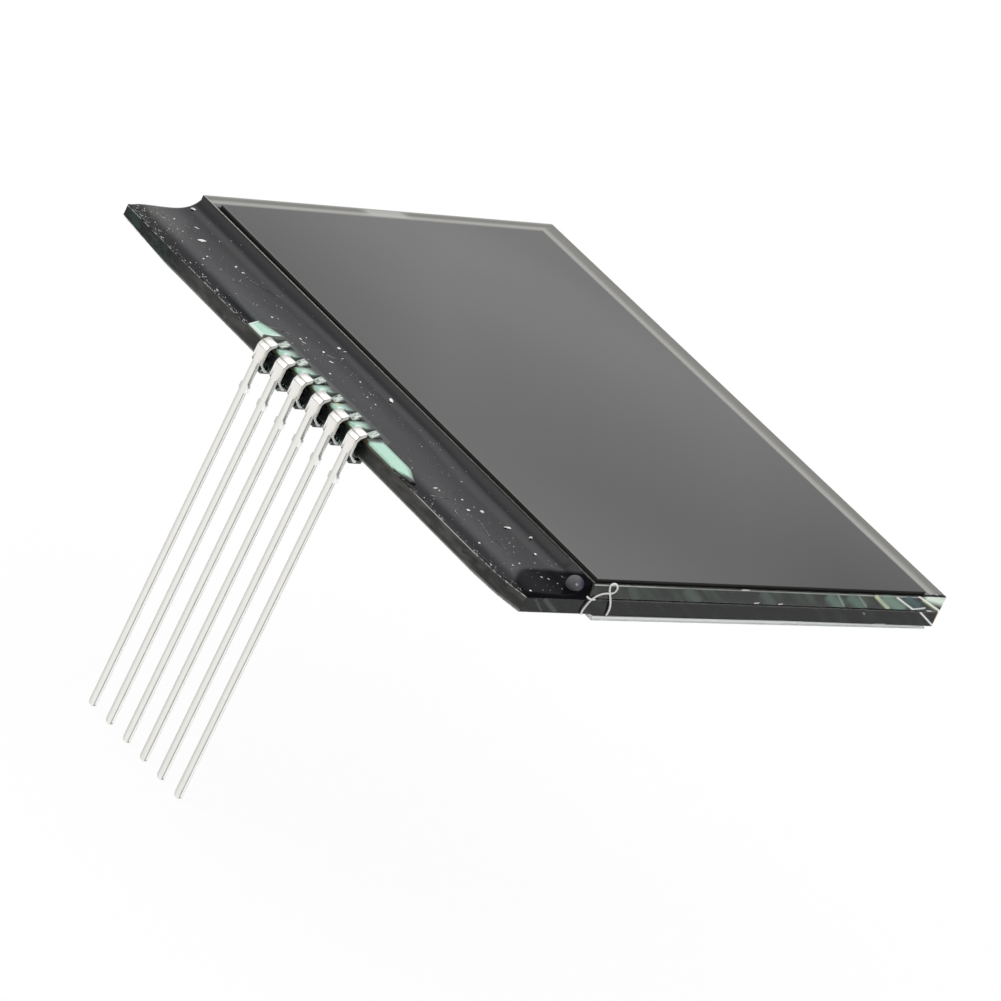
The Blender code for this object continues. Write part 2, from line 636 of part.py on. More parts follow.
def sweep(bm, edges, stations):
    """Extrudes a row of edges through stations: x, z and the two ends in y."""
    for x, z, low_y, high_y in stations:
        row = {vert for edge in edges for vert in edge.verts}
        start = min(vert.co.y for vert in row)
        span = max(vert.co.y for vert in row) - start
        made = bmesh.ops.extrude_edge_only(bm, edges=edges)["geom"]
        verts = {part for part in made if isinstance(part, bmesh.types.BMVert)}
        for vert in verts:
            share = (vert.co.y - start) / span
            vert.co = (x, low_y + share * (high_y - low_y), z)
        edges = [
            part for part in made if isinstance(part, bmesh.types.BMEdge) and set(part.verts) <= verts
        ]


def bend(start, end, start_half, end_half, steps=4):
    """Stations of an S between two points of the strip, level at both ends."""
    stations = []
    for i in range(1, steps + 1):
        share = i / steps
        x = start[0] + share * (end[0] - start[0])
        z = start[1] + smooth_step(share) * (end[1] - start[1])
        half = start_half + share * (end_half - start_half)
        stations.append((x, z, -half, half))
    return stations


def finger_stations():
    """The plate, its two creases, the crest over the ledge's edge, the contact and the toe."""
    half = PLATE_WIDTH / 2
    toe = TOE_WIDTH / 2
    root = TOE_ROOT_WIDTH / 2
    crest = (PLATE_FACE + CREST_IN, REAR_TOP + CREST_RISE)
    contact = (LEDGE_EDGE + FINGER_CONTACT, REAR_TOP + SPRING_GAP + STRIP)
    end = (LEDGE_EDGE + FINGER_REACH, contact[1] + TOE_RISE)
    stations = [
        (PLATE_FACE, REAR_TOP + PLATE_CREASE_RISE, -half, half),
        (PLATE_FACE + SLOPE_CREASE_IN, REAR_TOP + SLOPE_CREASE_RISE, -half, half),
        (*crest, -half, half),
    ]
    stations += bend(crest, contact, half, root)
    stations += bend(contact, end, root, toe)
    return stations


def jaw_stations(side):
    """A side leg that bends in under the glass, presses up and turns down at its end."""
    inner = side * (SHANK_WIDTH / 2 + JAW_SLIT)
    outer = side * PLATE_WIDTH / 2
    low, high = min(inner, outer), max(inner, outer)
    contact = REAR_UNDERSIDE - SPRING_GAP - STRIP
    lowest_z = contact - JAW_SAG
    stations = []
    for i in range(1, JAW_BEND_STEPS + 1):
        angle = math.pi / 2 * i / JAW_BEND_STEPS
        x = PLATE_FACE + JAW_BEND * (1.0 - math.cos(angle))
        z = NOTCH_Z - (NOTCH_Z - lowest_z) * math.sin(angle)
        stations.append((x, z, low, high))
    stations.append(((stations[-1][0] + LEDGE_EDGE + JAW_CONTACT) / 2, (lowest_z + contact) / 2, low, high))
    stations.append((LEDGE_EDGE + JAW_CONTACT, contact, low, high))
    stations.append((LEDGE_EDGE + JAW_REACH, contact - JAW_SAG / 2, low, high))
    return stations


def shank_stations():
    """The shank through its shoulder to the rounded tip, splayed a little outwards."""
    half = SHANK_WIDTH / 2
    wide = SHOULDER_WIDTH / 2
    tip = REAR_UNDERSIDE - PIN_REACH
    shoulder_top = SHOULDER_Z + SHOULDER_LENGTH / 2
    shoulder_foot = SHOULDER_Z - SHOULDER_LENGTH / 2

    def station(z, width):
        return (PLATE_FACE - (NOTCH_Z - z) * math.tan(PIN_SPLAY), z, -width, width)

    return [
        station(shoulder_top + SHOULDER_SLOPE, half),
        station(shoulder_top, wide),
        station(shoulder_foot, wide),
        station(shoulder_foot - SHOULDER_SLOPE, half),
        *(station(tip + along * TIP_TAPER, share * half) for along, share in TIP_SHAPE),
    ]


def make_pin_mesh():
    """The middle sheet of one pin: a plate of three strips, from which each part is swept."""
    ys = [-PLATE_WIDTH / 2, -SHANK_WIDTH / 2, SHANK_WIDTH / 2, PLATE_WIDTH / 2]
    bm = bmesh.new()
    row = [bm.verts.new((PLATE_FACE, y, NOTCH_Z)) for y in ys]
    edges = [bm.edges.new(pair) for pair in zip(row, row[1:])]
    sweep(bm, edges, finger_stations())
    sweep(bm, [edges[0]], jaw_stations(-1))
    sweep(bm, [edges[1]], shank_stations())
    sweep(bm, [edges[2]], jaw_stations(1))
    bmesh.ops.recalc_face_normals(bm, faces=bm.faces)
    plate_middle = Vector((PLATE_FACE, 0.0, (NOTCH_Z + REAR_TOP) / 2))
    plate = min(bm.faces, key=lambda face: (face.calc_center_median() - plate_middle).length)
    if plate.normal.x > 0.0:
        bmesh.ops.reverse_faces(bm, faces=bm.faces[:])
    mesh = bpy.data.meshes.new("contact_pin")
    bm.to_mesh(mesh)
    bm.free()
    mesh.materials.append(finish("contact_pin", (0.8, 0.79, 0.74), 0.3, 0.9))
    return mesh


def make_pins():
    mesh = make_pin_mesh()
    for number, y in enumerate(PIN_YS, 1):
        pin = bpy.data.objects.new(f"contact_pin_{number}", mesh)
        pin.parent = ROOT
        pin.location.y = y
        PARTS.objects.link(pin)
        wall = pin.modifiers.new("strip", "SOLIDIFY")
        wall.thickness = STRIP
        wall.offset = -1.0
        wall.use_even_offset = True
        rounding = pin.modifiers.new("stamped_edge", "BEVEL")
        rounding.width = STRIP_EDGE_ROUNDING
        rounding.segments = 2
        rounding.limit_method = "ANGLE"
        rounding.angle_limit = SHARP_EDGE


NEAR_BREAK = add_cutter("near_break", near_break())
FAR_BREAK = add_cutter("far_break", far_break())
make_glass()
make_front_polariser()
make_rear_sheets()
make_cell_filling()
make_port_plug()
make_coating(make_driver_chip())
make_pins()
make_adhesive()
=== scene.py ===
# %% [markdown]
# # A bare glass display, dressed for its portrait
# A segment display cell is two thin glass plates with a drop of liquid crystal between them. One
# plate is wider, and its margin carries the contacts, a black protective coat and six clip-on pins.
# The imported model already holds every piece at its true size. This lesson keeps those places and
# makes what the eye looks for: clear glass with green edges, satin film, dusty black resin, tin.

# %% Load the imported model
import math
import random

import bmesh
import bpy
from mathutils import Matrix, Vector, noise


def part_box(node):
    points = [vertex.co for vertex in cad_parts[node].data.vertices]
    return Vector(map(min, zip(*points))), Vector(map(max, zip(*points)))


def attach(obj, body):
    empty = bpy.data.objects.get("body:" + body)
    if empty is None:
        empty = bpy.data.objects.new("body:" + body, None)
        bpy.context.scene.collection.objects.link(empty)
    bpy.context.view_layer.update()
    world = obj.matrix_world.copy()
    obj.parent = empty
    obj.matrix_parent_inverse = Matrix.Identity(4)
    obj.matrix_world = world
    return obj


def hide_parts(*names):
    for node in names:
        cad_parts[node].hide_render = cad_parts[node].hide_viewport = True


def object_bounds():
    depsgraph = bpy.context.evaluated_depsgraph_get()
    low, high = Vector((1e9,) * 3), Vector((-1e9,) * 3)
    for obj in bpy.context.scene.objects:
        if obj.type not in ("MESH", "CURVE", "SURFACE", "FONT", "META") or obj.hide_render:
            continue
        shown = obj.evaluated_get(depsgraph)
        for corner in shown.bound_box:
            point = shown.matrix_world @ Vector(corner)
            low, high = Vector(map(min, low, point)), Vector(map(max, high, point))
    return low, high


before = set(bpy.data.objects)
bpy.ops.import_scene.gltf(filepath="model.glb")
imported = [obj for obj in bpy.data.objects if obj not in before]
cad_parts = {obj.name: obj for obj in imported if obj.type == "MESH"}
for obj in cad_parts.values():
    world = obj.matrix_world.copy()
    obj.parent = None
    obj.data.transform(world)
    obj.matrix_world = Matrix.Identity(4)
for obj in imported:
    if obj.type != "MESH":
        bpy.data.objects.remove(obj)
cad_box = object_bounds()
MM = 0.001
print("pieces in the frame:", len(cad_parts))

# %% [markdown]
# ## One corner to measure from
# The whole display is described from one corner of the front glass: +X runs away from the contact
# ledge, +Y along it, and +Z out of the viewing face. Every length below is in millimetres from that
# corner, so a reader can check it with a ruler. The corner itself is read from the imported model.

# %% The glass corner and the sizes that come from the frame
glass_low, glass_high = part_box("front_glass")
rear_low, rear_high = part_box("rear_glass")
CORNER = Vector((glass_low.x, glass_low.y, glass_high.z))


def at(x, y, z):
    """A point in millimetres from the glass corner, as a place in the row frame."""
    return CORNER + Vector((x, y, z)) * MM


def millimetres(point):
    """The other way round: a place in the row frame, in millimetres from the glass corner."""
    return (point - CORNER) / MM


FRONT_WIDTH, GLASS_LENGTH, _ = millimetres(glass_high)
FRONT_UNDERSIDE = millimetres(glass_low).z
LEDGE_EDGE, _, REAR_UNDERSIDE = millimetres(rear_low)
REAR_TOP = millimetres(rear_high).z
print(f"front glass {FRONT_WIDTH:.2f} x {GLASS_LENGTH:.2f} mm, ledge {-LEDGE_EDGE:.2f} mm wide")

# %% [markdown]
# ## Putting things in the scene
# Each thing in Blender is a block of data, such as a mesh or a lamp, and an object that places it.
# A new shape is worked out as a bmesh, which is written to a mesh once it is done.

# %% Scene helpers


def as_mesh(name, bm):
    """A bmesh, which is used up, as a mesh."""
    mesh = bpy.data.meshes.new(name)
    bm.to_mesh(mesh)
    bm.free()
    return mesh


def in_scene(name, data):
    """A new object with this data, linked to the scene."""
    made = bpy.data.objects.new(name, data)
    bpy.context.scene.collection.objects.link(made)
    return made


# %% [markdown]
# ## The camera
# The picture was taken with a long lens from a few decimetres away, which keeps the six pins nearly
# parallel, and the camera was rolled so that the display leans across the frame. A camera matrix
# says all of this at once: its columns are the directions to the right, up and back.

# %% Camera
CAMERA_PLACE = (-320.83, -278.16, 177.53)
CAMERA_RIGHT = Vector((0.72494, -0.55856, 0.40309))
CAMERA_UP = Vector((-0.03554, 0.55408, 0.83171))
LENS = 277.74

camera_data = bpy.data.cameras.new("camera")
camera_data.lens = LENS
camera_data.sensor_width = 36.0
camera_data.clip_start = 0.01
camera_data.clip_end = 10.0
camera = in_scene("camera", camera_data)
back = CAMERA_RIGHT.cross(CAMERA_UP).normalized()
turn = Matrix((CAMERA_RIGHT, CAMERA_UP, back)).transposed().to_4x4()
camera.matrix_world = Matrix.Translation(at(*CAMERA_PLACE)) @ turn
bpy.context.scene.camera = camera
print("camera looks along", -back)

# %% [markdown]
# ## Maths on shader sockets
# A finish is a small network of nodes. Writing it node by node hides the idea, so one class wraps
# a socket and lets Python's own operators add the Math nodes. Another holds the material, makes
# every other kind of node through one method, and lays further surfaces over the first.

# %% Socket maths


class Value:
    """A number that varies over a surface."""

    def __init__(self, finish, socket):
        self.finish = finish
        self.socket = socket

    def maths(self, operation, *others, clamp=False):
        inputs = {i: other for i, other in enumerate((self, *others))}
        return self.finish.node("ShaderNodeMath", {"operation": operation, "use_clamp": clamp}, inputs)

    def __add__(self, other):
        return self.maths("ADD", other)

    __radd__ = __add__

    def __sub__(self, other):
        return self.maths("SUBTRACT", other)

    def __rsub__(self, other):
        return (self * -1.0) + other

    def __mul__(self, other):
        return self.maths("MULTIPLY", other)

    __rmul__ = __mul__

    def __truediv__(self, other):
        return self.maths("DIVIDE", other)

    def clamped(self):
        return self.maths("ADD", 0.0, clamp=True)

    def either(self, *others):
        """The greatest of several values."""
        greatest = self
        for other in others:
            greatest = greatest.maths("MAXIMUM", other)
        return greatest

    def step(self, low, high):
        """0 below low, 1 above high, and a soft ramp between."""
        inputs = {"Value": self, "From Min": low, "From Max": high}
        return self.finish.node("ShaderNodeMapRange", {"interpolation_type": "SMOOTHSTEP"}, inputs)

    def fall(self, low, high):
        """1 below low and 0 above high."""
        return 1.0 - self.step(low, high)

    def between(self, low, full, fading, gone):
        """0 below low, 1 from full to fading, and 0 again above gone."""
        return self.step(low, full) * self.fall(fading, gone)

    def near(self, place, core, reach):
        """1 within a core distance of a place, and 0 beyond its reach."""
        return (self - place).maths("ABSOLUTE").fall(core, reach)


class Finish:
    """A material under construction, with its nodes read in millimetres from the glass corner."""

    def __init__(self, name):
        self.material = bpy.data.materials.new(name)
        self.material.use_nodes = True
        self.tree = self.material.node_tree
        self.shader = self.tree.nodes["Principled BSDF"]
        self.output = self.tree.nodes["Material Output"]
        self.surface = self.shader.outputs[0]
        place = self.node("ShaderNodeTexCoord", output="Object")
        move = {"vector_type": "POINT"}
        inputs = {"Vector": place, "Location": -CORNER / MM, "Scale": (1 / MM,) * 3}
        self.place = self.node("ShaderNodeMapping", move, inputs)

    def node(self, kind, settings=None, inputs=None, output=0):
        made = self.tree.nodes.new(kind)
        for key, value in (settings or {}).items():
            if key == "stops":
                set_stops(made.color_ramp, value)
            else:
                setattr(made, key, value)
        for key, value in (inputs or {}).items():
            self.join(made.inputs[key], value)
        return Value(self, made.outputs[output])

    def join(self, socket, value):
        if isinstance(value, Value):
            self.tree.links.new(value.socket, socket)
        elif socket.type == "RGBA" and len(value) == 3:
            socket.default_value = (*value, 1.0)
        else:
            socket.default_value = value

    def set(self, **inputs):
        """Values or links of the shader, with underscores for the spaces in their names."""
        self.fill(self.shader, inputs)
        return self

    def fill(self, shader, inputs):
        for key, value in inputs.items():
            self.join(shader.inputs[key.replace("_", " ")], value)

    def cover(self, mask, shader_output):
        """Mixes another shader over the surface where a mask is 1."""
        both = self.tree.nodes.new("ShaderNodeMixShader")
        self.join(both.inputs[0], mask)
        self.tree.links.new(self.surface, both.inputs[1])
        self.tree.links.new(shader_output, both.inputs[2])
        self.surface = both.outputs[0]
        self.tree.links.new(self.surface, self.output.inputs["Surface"])

    def lay(self, mask, colour, **inputs):
        """Lays a second Principled surface over the first, by a mask."""
        over = self.tree.nodes.new("ShaderNodeBsdfPrincipled")
        self.fill(over, {"Base_Color": colour, **inputs})
        self.cover(mask, over.outputs[0])

    def axis(self, name):
        return self.node("ShaderNodeSeparateXYZ", inputs={"Vector": self.place}, output=name)

    def axes(self):
        return [self.axis(letter) for letter in "XYZ"]

    def noise(self, scale, detail=2.0, roughness=0.5, stretch=(1.0, 1.0, 1.0)):
        """Soft noise; scale counts its patches in a millimetre."""
        vector = self.node("ShaderNodeMapping", None, {"Vector": self.place, "Scale": stretch})
        inputs = {"Vector": vector, "Scale": scale, "Detail": detail, "Roughness": roughness}
        return self.node("ShaderNodeTexNoise", None, inputs)

    def mix(self, factor, first, second):
        """A colour between two colours."""
        inputs = {0: factor, 6: first, 7: second}
        return self.node("ShaderNodeMix", {"data_type": "RGBA"}, inputs, output=2)

    def layered(self, colour, *layers):
        """A colour with others laid over it in turn, each by its own mask."""
        for mask, over in layers:
            colour = self.mix(mask, colour, over)
        return colour

    def bump(self, height, strength, depth):
        """A height from 0 to 1, depth millimetres tall, as a Normal."""
        inputs = {"Height": height, "Strength": strength, "Distance": depth * MM}
        return self.node("ShaderNodeBump", None, inputs)


def distance(axes, place):
    """How far a point of the surface is from a place, along two or three axes."""
    total = 0.0
    for axis, value in zip(axes, place):
        total = (axis - value) * (axis - value) + total
    return total.maths("SQRT")


def set_stops(ramp, stops):
    while len(ramp.elements) < len(stops):
        ramp.elements.new(1.0)
    for element, (position, colour) in zip(ramp.elements, stops):
        element.position = position
        element.color = (*colour, 1.0)


def mottled(name, patches, dark, pale, **inputs):
    """A plain finish in two colours; patches has the scale of their noise, and perhaps its detail."""
    finish = Finish(name).set(**inputs)
    return finish.set(Base_Color=finish.mix(finish.noise(*patches), dark, pale))


def dress(node, finish):
    """Gives a finish to a piece of the frame that keeps its shape."""
    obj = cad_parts[node]
    obj.data.materials.clear()
    obj.data.materials.append(finish.material)


# %% [markdown]
# ## Floor and light
# The picture is a plain white studio shot. A white floor fills the whole view, and its shader shows
# a nearly white level to the camera, so that only a soft trace of shadow stays. The light is a pale
# dome with a dimmer side behind the camera, which gives the tin and the resin something to reflect,
# and two large lamps.

# %% World, floor and lamps
world = bpy.data.worlds.new("studio")
bpy.context.scene.world = world
world.use_nodes = True
sky = world.node_tree
background = sky.nodes["Background"]
direction = sky.nodes.new("ShaderNodeTexCoord")
toward = sky.nodes.new("ShaderNodeVectorMath")
toward.operation = "DOT_PRODUCT"
toward.inputs[1].default_value = back
sky.links.new(direction.outputs["Generated"], toward.inputs[0])
dome = sky.nodes.new("ShaderNodeValToRGB")
DOME = [(0.0, (0.92, 0.92, 0.93)), (0.55, (0.8, 0.8, 0.81)), (1.0, (0.3, 0.3, 0.31))]
set_stops(dome.color_ramp, DOME)
sky.links.new(toward.outputs["Value"], dome.inputs["Fac"])
sky.links.new(dome.outputs["Color"], background.inputs["Color"])
background.inputs["Strength"].default_value = 0.9

FLOOR_SIZE = 1.6
FLOOR_SHOWN = 0.95
floor_mesh = bmesh.new()
bmesh.ops.create_grid(floor_mesh, x_segments=1, y_segments=1, size=FLOOR_SIZE)
bmesh.ops.translate(floor_mesh, vec=(0.0, 0.0, cad_box[0][2]), verts=floor_mesh.verts)
floor = in_scene("floor", as_mesh("floor", floor_mesh))

paper = Finish("white_paper").set(Base_Color=(0.9, 0.9, 0.9))
glow = paper.node("ShaderNodeEmission", None, {"Strength": 1.0})
RAYS = ("Is Camera Ray", "Is Glossy Ray", "Is Transmission Ray")
camera_ray, glossy_ray, clear_ray = (paper.node("ShaderNodeLightPath", output=ray) for ray in RAYS)
paper.set(Roughness=paper.noise(0.6, 3.0) * 0.1 + 0.85)
paper.cover((camera_ray + glossy_ray + clear_ray).clamped() * FLOOR_SHOWN, glow.socket)
floor.data.materials.append(paper.material)


def lamp(name, place, target, size, power):
    """A square soft lamp that looks at a point."""
    data = bpy.data.lights.new(name, "AREA")
    data.shape = "SQUARE"
    data.size = size
    data.energy = power
    made = in_scene(name, data)
    made.location = place
    made.rotation_euler = (target - place).to_track_quat("-Z", "Y").to_euler()


MIDDLE = at(FRONT_WIDTH / 2, GLASS_LENGTH / 2, 0.0)
lamp("top_lamp", MIDDLE + Vector((0.1, 0.15, 0.6)), MIDDLE, 0.7, 2.0)
lamp("side_lamp", MIDDLE + Vector((-0.5, 0.25, 0.35)), MIDDLE, 0.5, 1.0)
bpy.context.scene.view_settings.view_transform = "Standard"

# %% [markdown]
# ## Turning a bmesh into a piece
# Every new piece is drawn in millimetres from the glass corner and moved into the row frame once,
# in its mesh. Its object stays at the origin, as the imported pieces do.

# %% Adding a piece


def add_piece(name, bm, finish, replaced=(), smooth_angle=40.0):
    """A bmesh in millimetres from the glass corner, as a finished piece of the display."""
    bmesh.ops.transform(bm, matrix=Matrix.Translation(CORNER) @ Matrix.Scale(MM, 4), verts=bm.verts)
    mesh = as_mesh(name, bm)
    mesh.shade_smooth()
    mesh.set_sharp_from_angle(angle=math.radians(smooth_angle))
    mesh.materials.append(finish.material)
    obj = in_scene(name, mesh)
    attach(obj, "root")
    if replaced:
        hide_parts(*replaced)


def cad_copy(node):
    """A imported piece's mesh, merged, as a bmesh in millimetres from the glass corner."""
    bm = bmesh.new()
    bm.from_mesh(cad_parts[node].data)
    bmesh.ops.remove_doubles(bm, verts=bm.verts, dist=1e-6)
    bmesh.ops.transform(bm, matrix=Matrix.Scale(1 / MM, 4) @ Matrix.Translation(-CORNER), verts=bm.verts)
    return bm


# %% [markdown]
# ## Shapes drawn in code
# Dust and fibres are tiny, but they make a surface look real. A few helpers cover them and the resin
# skins too: a soft step for Python numbers, the distance into an outline, a tube along a few points,
# and a closed skin, which is a fine grid, extruded, with its copy bent and its underside left flat.

# %% Helpers for shapes


def soft(value, low=0.0, high=1.0):
    """0 below low, 1 above high, and a smooth ramp between."""
    share = min(max((value - low) / (high - low), 0.0), 1.0)
    return share * share * (3.0 - 2.0 * share)


def inside_distance(x, y, outline):
    """How far a point is inside a closed outline; negative outside."""
    nearest = math.inf
    crossings = 0
    for (ax, ay), (bx, by) in zip(outline, outline[1:] + outline[:1]):
        length_squared = (bx - ax) ** 2 + (by - ay) ** 2
        share = ((x - ax) * (bx - ax) + (y - ay) * (by - ay)) / length_squared
        share = min(max(share, 0.0), 1.0)
        nearest = min(nearest, math.hypot(x - ax - share * (bx - ax), y - ay - share * (by - ay)))
        if (ay > y) != (by > y) and x < ax + (y - ay) / (by - ay) * (bx - ax):
            crossings += 1
    return nearest if crossings % 2 else -nearest


def extruded_verts(bm, faces):
    """Extrudes faces where they are, and returns the points of the copy."""
    made = bmesh.ops.extrude_face_region(bm, geom=faces)["geom"]
    return [part for part in made if isinstance(part, bmesh.types.BMVert)]


def skin(columns, rows, place, underside):
    """A closed sheet, with a flat underside: place(u, v) gives each point of its top."""
    bm = bmesh.new()
    bmesh.ops.create_grid(bm, x_segments=columns, y_segments=rows, size=0.5)
    top = bm.verts[:]
    for vert in top:
        vert.co = place(vert.co.x + 0.5, vert.co.y + 0.5)
    lifted = extruded_verts(bm, bm.faces[:])
    for vert in top:
        vert.co.z = underside
    bmesh.ops.recalc_face_normals(bm, faces=bm.faces)
    print(f"skin of {len(lifted)} points")
    return bm


def tube(points, radius):
    """A round fibre along a smooth curve, as a bmesh."""
    curve = bpy.data.curves.new("fibre", "CURVE")
    curve.dimensions = "3D"
    curve.bevel_depth = radius
    curve.bevel_resolution = 2
    curve.resolution_u = 6
    curve.use_fill_caps = True
    spline = curve.splines.new("NURBS")
    spline.points.add(len(points) - 1)
    for point, place in zip(spline.points, points):
        point.co = (*place, 1.0)
    spline.use_endpoint_u = True
    spline.order_u = 4
    made = in_scene("fibre", curve)
    bpy.context.view_layer.update()
    depsgraph = bpy.context.evaluated_depsgraph_get()
    shape = bpy.data.meshes.new_from_object(made.evaluated_get(depsgraph))
    bm = bmesh.new()
    bm.from_mesh(shape)
    bmesh.ops.remove_doubles(bm, verts=bm.verts, dist=radius * 0.01)
    bmesh.ops.recalc_face_normals(bm, faces=bm.faces)
    bpy.data.objects.remove(made, do_unlink=True)
    bpy.data.curves.remove(curve)
    bpy.data.meshes.remove(shape)
    return bm


def absorb(into, bm):
    """Adds one bmesh to another."""
    shape = as_mesh("part", bm)
    into.from_mesh(shape)
    bpy.data.meshes.remove(shape)


# %% [markdown]
# ## The broken near corner of the ledge
# The ledge's outer edge has a long chip at its near end. Two straight lines describe it well, and
# the same rule serves the coat's outline in Python and the glass finish in shader nodes.

# %% Ledge outline
BREAK_START = (0.09, 0.65)
BREAK_MIDDLE = (1.93, 0.234)
BREAK_END = (4.05, 0.07)


def break_line(first, second, y):
    """How deep the chip is at a place along the ledge, on the line through two of its points."""
    slope = (second[1] - first[1]) / (second[0] - first[0])
    return (y - first[0]) * slope + first[1]


def ledge_side(y):
    """The ledge's outer edge at a place along it, in millimetres."""
    near_part = break_line(BREAK_START, BREAK_MIDDLE, y)
    return LEDGE_EDGE + max(near_part, break_line(BREAK_MIDDLE, BREAK_END, y), 0.0)


PIN_YS = []
for number in range(1, 7):
    low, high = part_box(f"contact_pin_{number}")
    PIN_YS.append(millimetres((low + high) / 2).y)
PIN_PITCH = PIN_YS[0] - PIN_YS[1]
print("pins at", [round(y, 2) for y in PIN_YS], "pitch", round(PIN_PITCH, 3))

# %% [markdown]
# ## Glass
# Window glass looks clear through its face and green through its edge, because the light that
# reaches the edge has crossed many millimetres of it. A volume absorption node does that with real
# distances. The scored and snapped edges are a little rough and wavy, so both plates start from one
# function, and further functions draw what both have in common.

# %% Glass finish
GLASS_IOR = 1.52
ARRIS = 0.075
FACE_DEPTH = 0.03  # a point this close to the plane of a face counts as on it
STREAK_CORE = 0.1  # the share of a streak's width that keeps its full strength
FILM_OUTLINE = [(0.28, 0.2), (28.71, 0.2), (28.48, 42.27), (0.46, 42.27), (0.33, 30.0), (0.29, 14.0)]
FILM_SLANT = 0.23 / 42.07  # the polariser's right edge is laid a little askew
FILM_TURN = 20.0  # past here its left edge leans away from the ledge
FILM_LEAN = 0.008


def film_left_edge(y):
    return (y - FILM_TURN).either(0.0) * FILM_LEAN + FILM_OUTLINE[0][0]


def glass_finish(name, tint, density):
    """Clear glass; returns the finish with its three axes."""
    glass = Finish(name).set(Base_Color=(0.97, 0.985, 0.97), Transmission_Weight=1.0, IOR=GLASS_IOR)
    x, y, z = glass.axes()
    inside = (x - LEDGE_EDGE).maths("MINIMUM", y).maths("MINIMUM", GLASS_LENGTH - y)
    edge = inside.maths("MINIMUM", FRONT_WIDTH - x).fall(0.0, 0.12)
    waves = glass.noise(0.5, 2.0, 0.5, stretch=(1.0, 1.0, 0.4))
    smears = glass.noise(0.5, 3.0, 0.6)
    glass.set(Roughness=smears.step(0.5, 0.8) * 0.02 + edge * 0.03 + 0.005)
    glass.set(Normal=glass.bump(edge * waves, 1.0, 0.04))
    absorption = glass.tree.nodes.new("ShaderNodeVolumeAbsorption")
    absorption.inputs["Color"].default_value = (*tint, 1.0)
    absorption.inputs["Density"].default_value = density / MM
    glass.tree.links.new(absorption.outputs[0], glass.output.inputs["Volume"])
    return glass, x, y, z


def slanted(finish, x, z):
    """Noise drawn out along the slanting lines that the snapped faces show."""
    across = x * 0.545 + z * 0.838
    vector = finish.node("ShaderNodeCombineXYZ", None, {"X": across, "Y": x * 0.12})
    return finish.node("ShaderNodeTexNoise", None, {"Vector": vector, "Scale": 1.6, "Detail": 3.0})


def cloud_far_sides(glass, x, y, where, dark, pale):
    """Gives the far end and the long side away from the pins a dim and cloudy green."""
    far_end = y.step(GLASS_LENGTH - FACE_DEPTH, GLASS_LENGTH)
    long_side = x.step(FRONT_WIDTH - FACE_DEPTH, FRONT_WIDTH)
    cloudy = glass.mix(glass.noise(0.4, 3.0, stretch=(1.0, 1.0, 3.0)), dark, pale)
    glass.lay(far_end.either(long_side) * where * 0.9, cloudy, Roughness=0.15, IOR=1.4)


def segment(first, second, start, end, width):
    """1 along a straight line between two points of the plane of two axes, and 0 away from it."""
    along = Vector(end) - Vector(start)
    unit = along.normalized()
    u = (first - start[0]) * unit.x + (second - start[1]) * unit.y
    v = (first - start[0]) * unit.y - (second - start[1]) * unit.x
    past = (u * -1.0).either(u - along.length, 0.0)
    return (past * past + v * v).maths("SQRT").fall(width * STREAK_CORE, width)


def draw_streaks(glass, streaks, x, z, face):
    """Paints lines of reflection and highlight on a snapped face, each with its ends, width, colour and
    strength.
    """
    for start, end, width, colour, strength in streaks:
        glass.lay(segment(x, z, start, end, width) * face * strength, colour, Roughness=0.4)


# %% [markdown]
# ### What lies against the front plate
# Where black resin or a polariser is laminated to a face, no air gap is left to mirror light back,
# so those parts get a dark surface of their own. What shows through the glass beside the film is
# painted on its top instead: a near black strip beside the step and along the near side, and past
# the far and right edges of the film the pale sheet behind the cell, in painted bands: a brown one
# over the seal, a pale one, and a brighter patch at the port.

# %% Front glass: covered parts and border
front, x, y, z = glass_finish("front_glass_finish", (0.5, 0.72, 0.55), 0.1)
(_, low_y), (high_x, _), (_, high_y) = FILM_OUTLINE[:3]
film_left = film_left_edge(y)
film_right = high_x - y * FILM_SLANT
top = z.step(-FACE_DEPTH, -0.01)
along_film = y.between(low_y - 0.02, low_y, high_y - 0.02, high_y)
under_film = (x - film_left).step(-0.02, 0.0) * (x - film_right).fall(-0.02, 0.0) * along_film * top
under_coat = x.fall(0.01, 0.03) * z.fall(-0.04, -0.02)
front.lay(under_film.either(under_coat), (0.02, 0.028, 0.022), Roughness=0.6)
# painted dark: the glass top beside the step and along the near side, as it looks seen through
near_strip = y.fall(low_y - 0.02, low_y) * x.step(0.0, 0.2)
beside_step = (x - film_left).fall(-0.03, 0.0) * x.step(0.1, 0.14)
front.lay(beside_step.either(near_strip) * top, (0.008, 0.008, 0.007), Roughness=0.2, IOR=1.1)
past_x = x - film_right
past_y = y - high_y
past_film = past_x.either(past_y)
port_part = x.near(15.3, 1.2, 2.4)
band_end = past_x.step(0.65, 1.3).either(past_y.step(0.62, 1.02) * (1.0 - port_part * 0.75))
# painted view through the glass: past the film, the pale sheet behind the cell in bands
border = front.layered(
    (0.09, 0.088, 0.08),
    (past_film.step(0.28, 0.6), (0.3, 0.296, 0.275)),
    (port_part * past_y.step(0.4, 0.8), (0.42, 0.415, 0.39)),
    (band_end, (0.125, 0.122, 0.108)),
    (past_y.step(1.15, 1.45), (0.3, 0.3, 0.28)),
)
on_border = past_film.step(0.0, 0.05) * top * x.step(0.09, 0.12) * y.step(low_y, low_y + 0.08)
front.lay(on_border * 0.97, border, Roughness=0.06, IOR=1.45)
